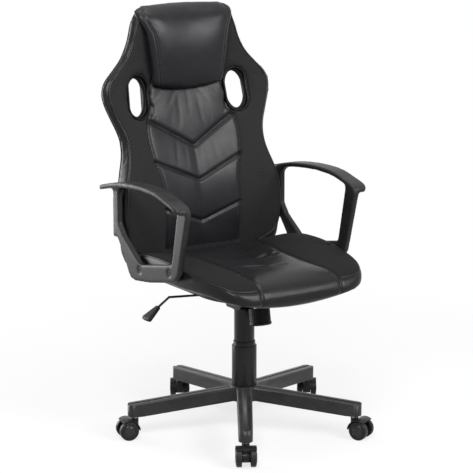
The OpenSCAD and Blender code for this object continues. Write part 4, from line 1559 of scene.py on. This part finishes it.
    def mark(self, cover: Piece, by_seam: list[Nearness], by_edge: Nearness, edge: Path) -> None:
        """Writes on the cover where leatherette ends and mesh starts.

        Args:
            cover: The cover.
            by_seam: How its points stand to the centre panel's seams.
            by_edge: How its points stand to the front edge.
            edge: The front edge.
        """
        points, across = places(cover), normals(cover)
        outline = np.array([(x, z) for x, z in self.seam] + [(-x, z) for x, z in reversed(self.seam)])
        centre = np.minimum(by_seam[0].distance, by_seam[1].distance)
        centre = np.where(inside(points[:, [0, 2]], outline), centre, -centre)
        out = (edge[by_edge.segment] - (0, 0, self.centre)) * (1, 0, 1)
        runs = unit_rows(np.diff(edge, axis=0)[by_edge.segment])
        out = unit_rows(out - runs * (out * runs).sum(1)[:, None])
        band = by_edge.signed(out + REARWARD)
        band[across[:, 1] > 0.3] = 60
        attribute(cover, "panel", np.maximum(centre, band))


@dataclass
class Headrest:
    """Headrest pad: a bulging leatherette pad with a double-stitched seam near each side.

    Attributes:
        voxel: Size of the remeshed quads in mm.
        crown: The most that the pad swells, in mm.
        bulge: How much further the pad's middle stands forward than its solid, in mm.
        shoulder: How much wider the pad is at its top corners than its solid, in mm.
        wrap: How far its top edge reaches back over the cushion, in mm.
        lift: How far the middle of its top edge is drawn up, in mm.
        inset: Distance of the side seams from the pad's edges in mm.
        twin: Distance between a seam and each of its two stitch rows in mm.
        seam_groove: Depth and half-width of the seams' grooves in mm.
        grip: How firmly a seam holds, and the distance over which its hold falls by 1, in mm.
        pressure: Air pressure of the cloth.
    """

    voxel: float = 5.0
    crown: float = 6.0
    bulge: float = 17.0
    shoulder: float = 19.0
    wrap: float = 26.0
    lift: float = 4.0
    inset: float = 17.0
    twin: float = 3.4
    seam_groove: Pair = (2.2, 3.6)
    grip: Pair = (1.2, 6.0)
    pressure: float = 4.0

    def seam(self, side: int, points: np.ndarray, tree: BVHTree, shift: float = 0.0) -> Path:
        """Follows a side seam from the bottom of the pad to its top.

        Args:
            side: -1 or 1.
            points: The pad's points in mm.
            tree: The pad's search tree.
            shift: How much further out it runs, in mm.

        Returns:
            The seam's points on the pad.
        """
        line = []
        for height in np.arange(points[:, 2].min() + 14, points[:, 2].max() - 6, 6.0):
            level = points[np.abs(points[:, 2] - height) < 6]
            line.append((side * ((level[:, 0] * side).max() - self.inset + shift), height))
        return press_front(tree, line, 6)

    def shape(self, pad: Piece) -> None:
        """Bulges the pad's middle and pulls its top corners and top edge over the cushion.

        Args:
            pad: The remeshed pad.
        """
        points = places(pad)
        low, high = points[:, 2].min(), points[:, 2].max()
        up = (points[:, 2] - low) / (high - low)
        across = np.abs(points[:, 0]) / np.abs(points[:, 0]).max()
        levels = np.arange(low + 3, high - 2, 8.0)
        rear = [points[np.abs(points[:, 2] - level) < 5][:, 1].max() for level in levels]
        share = np.clip((np.interp(points[:, 2], levels, rear) - points[:, 1]) / 30, 0, 1)
        points[:, 1] -= self.bulge * share * np.sin(np.pi * up) * (1 - across**4)
        rise = np.clip((up - 0.66) / 0.3, 0, 1)
        corner = rise * rise * (3 - 2 * rise) * across**2
        points[:, 0] += np.sign(points[:, 0]) * self.shoulder * corner
        roll = np.clip((up - 0.86) / 0.14, 0, 1) ** 2
        points[:, 1] += self.wrap * (0.6 * corner * across**4 + roll)
        points[:, 2] += self.lift * (1 - across**2) * roll
        move_to(pad, points)
        relax(pad, 6)

    def build(self) -> None:
        """Makes the pad and its stitches."""
        pad = new_piece("headrest_cover", cad_copy(["headrest_pad"]))
        remesh(pad, self.voxel)
        self.shape(pad)
        points, tree = places(pad), surface(pad)
        seams = [self.seam(side, points, tree) for side in SIDES]
        free = room(points, ["back_cushion"], self.crown, 0.4)
        free[normals(pad)[:, 1] > 0.3] = 0
        puff(pad, seams, free, self.grip, self.pressure)
        points, across = places(pad), normals(pad)
        near = [nearness(points, line).distance for line in seams]
        sunk = sum(groove(distance, *self.seam_groove) for distance in near)
        move_to(pad, points - across * np.where(across[:, 1] < 0.2, sunk, 0)[:, None])
        attribute(pad, "panel", np.full(len(points), 50.0))
        # The seam distance, stretched, narrows the painted shade in the grooves
        attribute(pad, "seam", np.min(near, axis=0) * 1.6)
        finish_piece(pad, "seat", BACK_COVER)
        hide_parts("headrest_pad")
        tree = surface(pad)
        for side in SIDES:
            for row, shift in enumerate((-self.twin, self.twin), 1):
                name = f"headrest_stitches_{side_word(side)}_{row}"
                thread = stitches(name, tree, self.seam(side, points, tree, shift))
                finish_piece(thread, "seat", THREAD)


# ---------------------------------------------------------------- arms


@dataclass
class Arm:
    """Armrest: one moulding whose pad flows into its legs with rounded edges.

    Attributes:
        node: The CAD node it stands for.
        voxel: Size of the remeshed quads in mm.
        rounding: How many times the remeshed moulding is smoothed.
    """

    node: str
    voxel: float = 2.8
    rounding: int = 9

    def build(self) -> None:
        """Makes the rounded moulding."""
        arm = new_piece(f"{self.node}_moulding", cad_copy([self.node]))
        remesh(arm, self.voxel)
        relax(arm, self.rounding)
        finish_piece(arm, "seat", ARM_PLASTIC)
        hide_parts(self.node)


# ---------------------------------------------------------------- studio


@dataclass
class Lamp:
    """A soft box.

    Attributes:
        name: Its name.
        place: Where it stands, in mm.
        target: What it points at, in mm.
        size: Its width and height in mm.
        power: Its power in watts.
    """

    name: str
    place: Point
    target: Point
    size: Pair
    power: float

    def build(self) -> None:
        """Makes the lamp."""
        light = bpy.data.lights.new(self.name, "AREA")
        light.shape = "RECTANGLE"
        light.size, light.size_y = self.size[0] * MM, self.size[1] * MM
        light.energy = self.power
        lamp = bpy.data.objects.new(self.name, light)
        bpy.context.scene.collection.objects.link(lamp)
        lamp.location = Vector(self.place) * MM
        aim = Vector(self.target) - Vector(self.place)
        lamp.rotation_mode = "QUATERNION"
        lamp.rotation_quaternion = aim.to_track_quat("-Z", "Y")


@dataclass
class Studio:
    """White studio: a pale floor that fades out, soft boxes and the camera.

    Attributes:
        eye: Where the camera is, in mm.
        yaw: Turn of the camera to the right in degrees.
        pitch: How far it looks down in degrees.
        lens: Its lens in mm on a 36 mm sensor.
        ambient: Strength of the light from all round.
        floor_radius: Radius of the floor in mm.
        fade: Distances from the column between which the floor fades out, in mm.
        paper: Darkest and lightest colour of the floor.
        paleness: How far the floor is lifted to white to the eye, 0 to 1; its shadow keeps the rest.
    """

    eye: Point = (-2580.84, -3912.65, 1549.02)
    yaw: float = -33.16
    pitch: float = 12.45
    lens: float = 141.0
    ambient: float = 0.14
    floor_radius: float = 6000.0
    fade: Pair = (550.0, 1600.0)
    paper: tuple[str, str] = ("#dddddd", "#e6e6e6")
    paleness: float = 0.75
    lamps: list[Lamp] = field(
        default_factory=lambda: [
            Lamp("key_box", (-1500, -1700, 2700), (0, 0, 650), (1200, 1200), 76.0),
            Lamp("rim_box", (-1300, 2350, 850), (-100, 150, 650), (1600, 1700), 60.0),
            Lamp("panel_box", (1100, -2650, 2250), (0, 0, 800), (1500, 1200), 96.0),
            Lamp("top_box", (0, 300, 3000), (0, 0, 500), (1500, 1500), 26.0),
        ]
    )

    def build(self) -> None:
        """Makes the camera, world, floor and lamps."""
        scene = bpy.context.scene
        scene.view_settings.view_transform = "Standard"
        camera = bpy.data.cameras.new("camera")
        camera.lens = self.lens
        camera.sensor_width = 36.0
        camera.clip_end = 60.0
        eye = bpy.data.objects.new("camera", camera)
        scene.collection.objects.link(eye)
        scene.camera = eye
        eye.location = Vector(self.eye) * MM
        eye.rotation_euler = (math.radians(90 - self.pitch), 0, math.radians(self.yaw))
        self.build_world(scene)
        self.build_floor()
        for lamp in self.lamps:
            lamp.build()

    def build_world(self, scene: bpy.types.Scene) -> None:
        """Makes the world: white to the eye, plain soft light to the object.

        Args:
            scene: The scene.
        """
        world = bpy.data.worlds.new("studio")
        scene.world = world
        world.use_nodes = True
        tree = world.node_tree
        background = tree.nodes["Background"]
        background.inputs["Color"].default_value = (1, 1, 1, 1)
        inputs = {"Value": self.seen_share(tree), "To Min": self.ambient, "To Max": 1.0}
        strength = add_node(tree, "ShaderNodeMapRange", inputs).outputs["Result"]
        tree.links.new(strength, background.inputs["Strength"])

    def seen_share(self, tree: Tree) -> Socket:
        """Tells the rays that show the backdrop, straight, in a gloss or through glass, from those that light.

        Args:
            tree: The node tree.

        Returns:
            The output that is 1 for them.
        """
        rays = add_node(tree, "ShaderNodeLightPath").outputs
        share = rays["Is Camera Ray"]
        for name in ("Is Glossy Ray", "Is Transmission Ray"):
            share = add_node(tree, "ShaderNodeMath", {0: share, 1: rays[name]}, operation="MAXIMUM").outputs[0]
        return share

    def build_floor(self) -> None:
        """Makes the floor, which fades into the backdrop away from the object."""
        shape = bmesh.new()
        bmesh.ops.create_circle(shape, cap_ends=True, segments=96, radius=self.floor_radius * MM)
        floor = new_piece("floor", shape)
        sheet = Surface("pale_floor_paper", roughness=0.85)
        sheet.feed("Base Color", sheet.tint(sheet.noise(9, 3.0), *self.paper))
        distance = add_node(sheet.tree, "ShaderNodeVectorMath", {0: sheet.place}, operation="LENGTH")
        gone = sheet.remap(distance.outputs["Value"], (self.fade[0] * MM, self.fade[1] * MM))
        clear = add_node(sheet.tree, "ShaderNodeBsdfTransparent").outputs["BSDF"]
        white = add_node(sheet.tree, "ShaderNodeEmission", {"Strength": 1.0}).outputs[0]
        seen = sheet.combine("MULTIPLY", self.seen_share(sheet.tree), self.paleness)
        ends = {0: seen, 1: sheet.shader.outputs["BSDF"], 2: white}
        paper = add_node(sheet.tree, "ShaderNodeMixShader", ends).outputs[0]
        mixed = add_node(sheet.tree, "ShaderNodeMixShader", {0: gone, 1: paper, 2: clear}).outputs[0]
        sheet.tree.links.new(mixed, sheet.tree.nodes["Material Output"].inputs["Surface"])
        floor.data.materials.append(sheet.material)


def main() -> None:
    """Builds the studio and the chair."""
    logging.basicConfig(level=logging.INFO, format="%(message)s")
    Studio().build()
    dress_solids()
    StarBase().build()
    TensionCoil().build()
    WheelCaps().build()
    for side in SIDES:
        StrapRim(side).build()
    for arm in ("left_arm", "right_arm"):
        Arm(arm).build()
    SeatCushion().build()
    BackRest().build()
    Headrest().build()


if __name__ == "__main__":
    main()
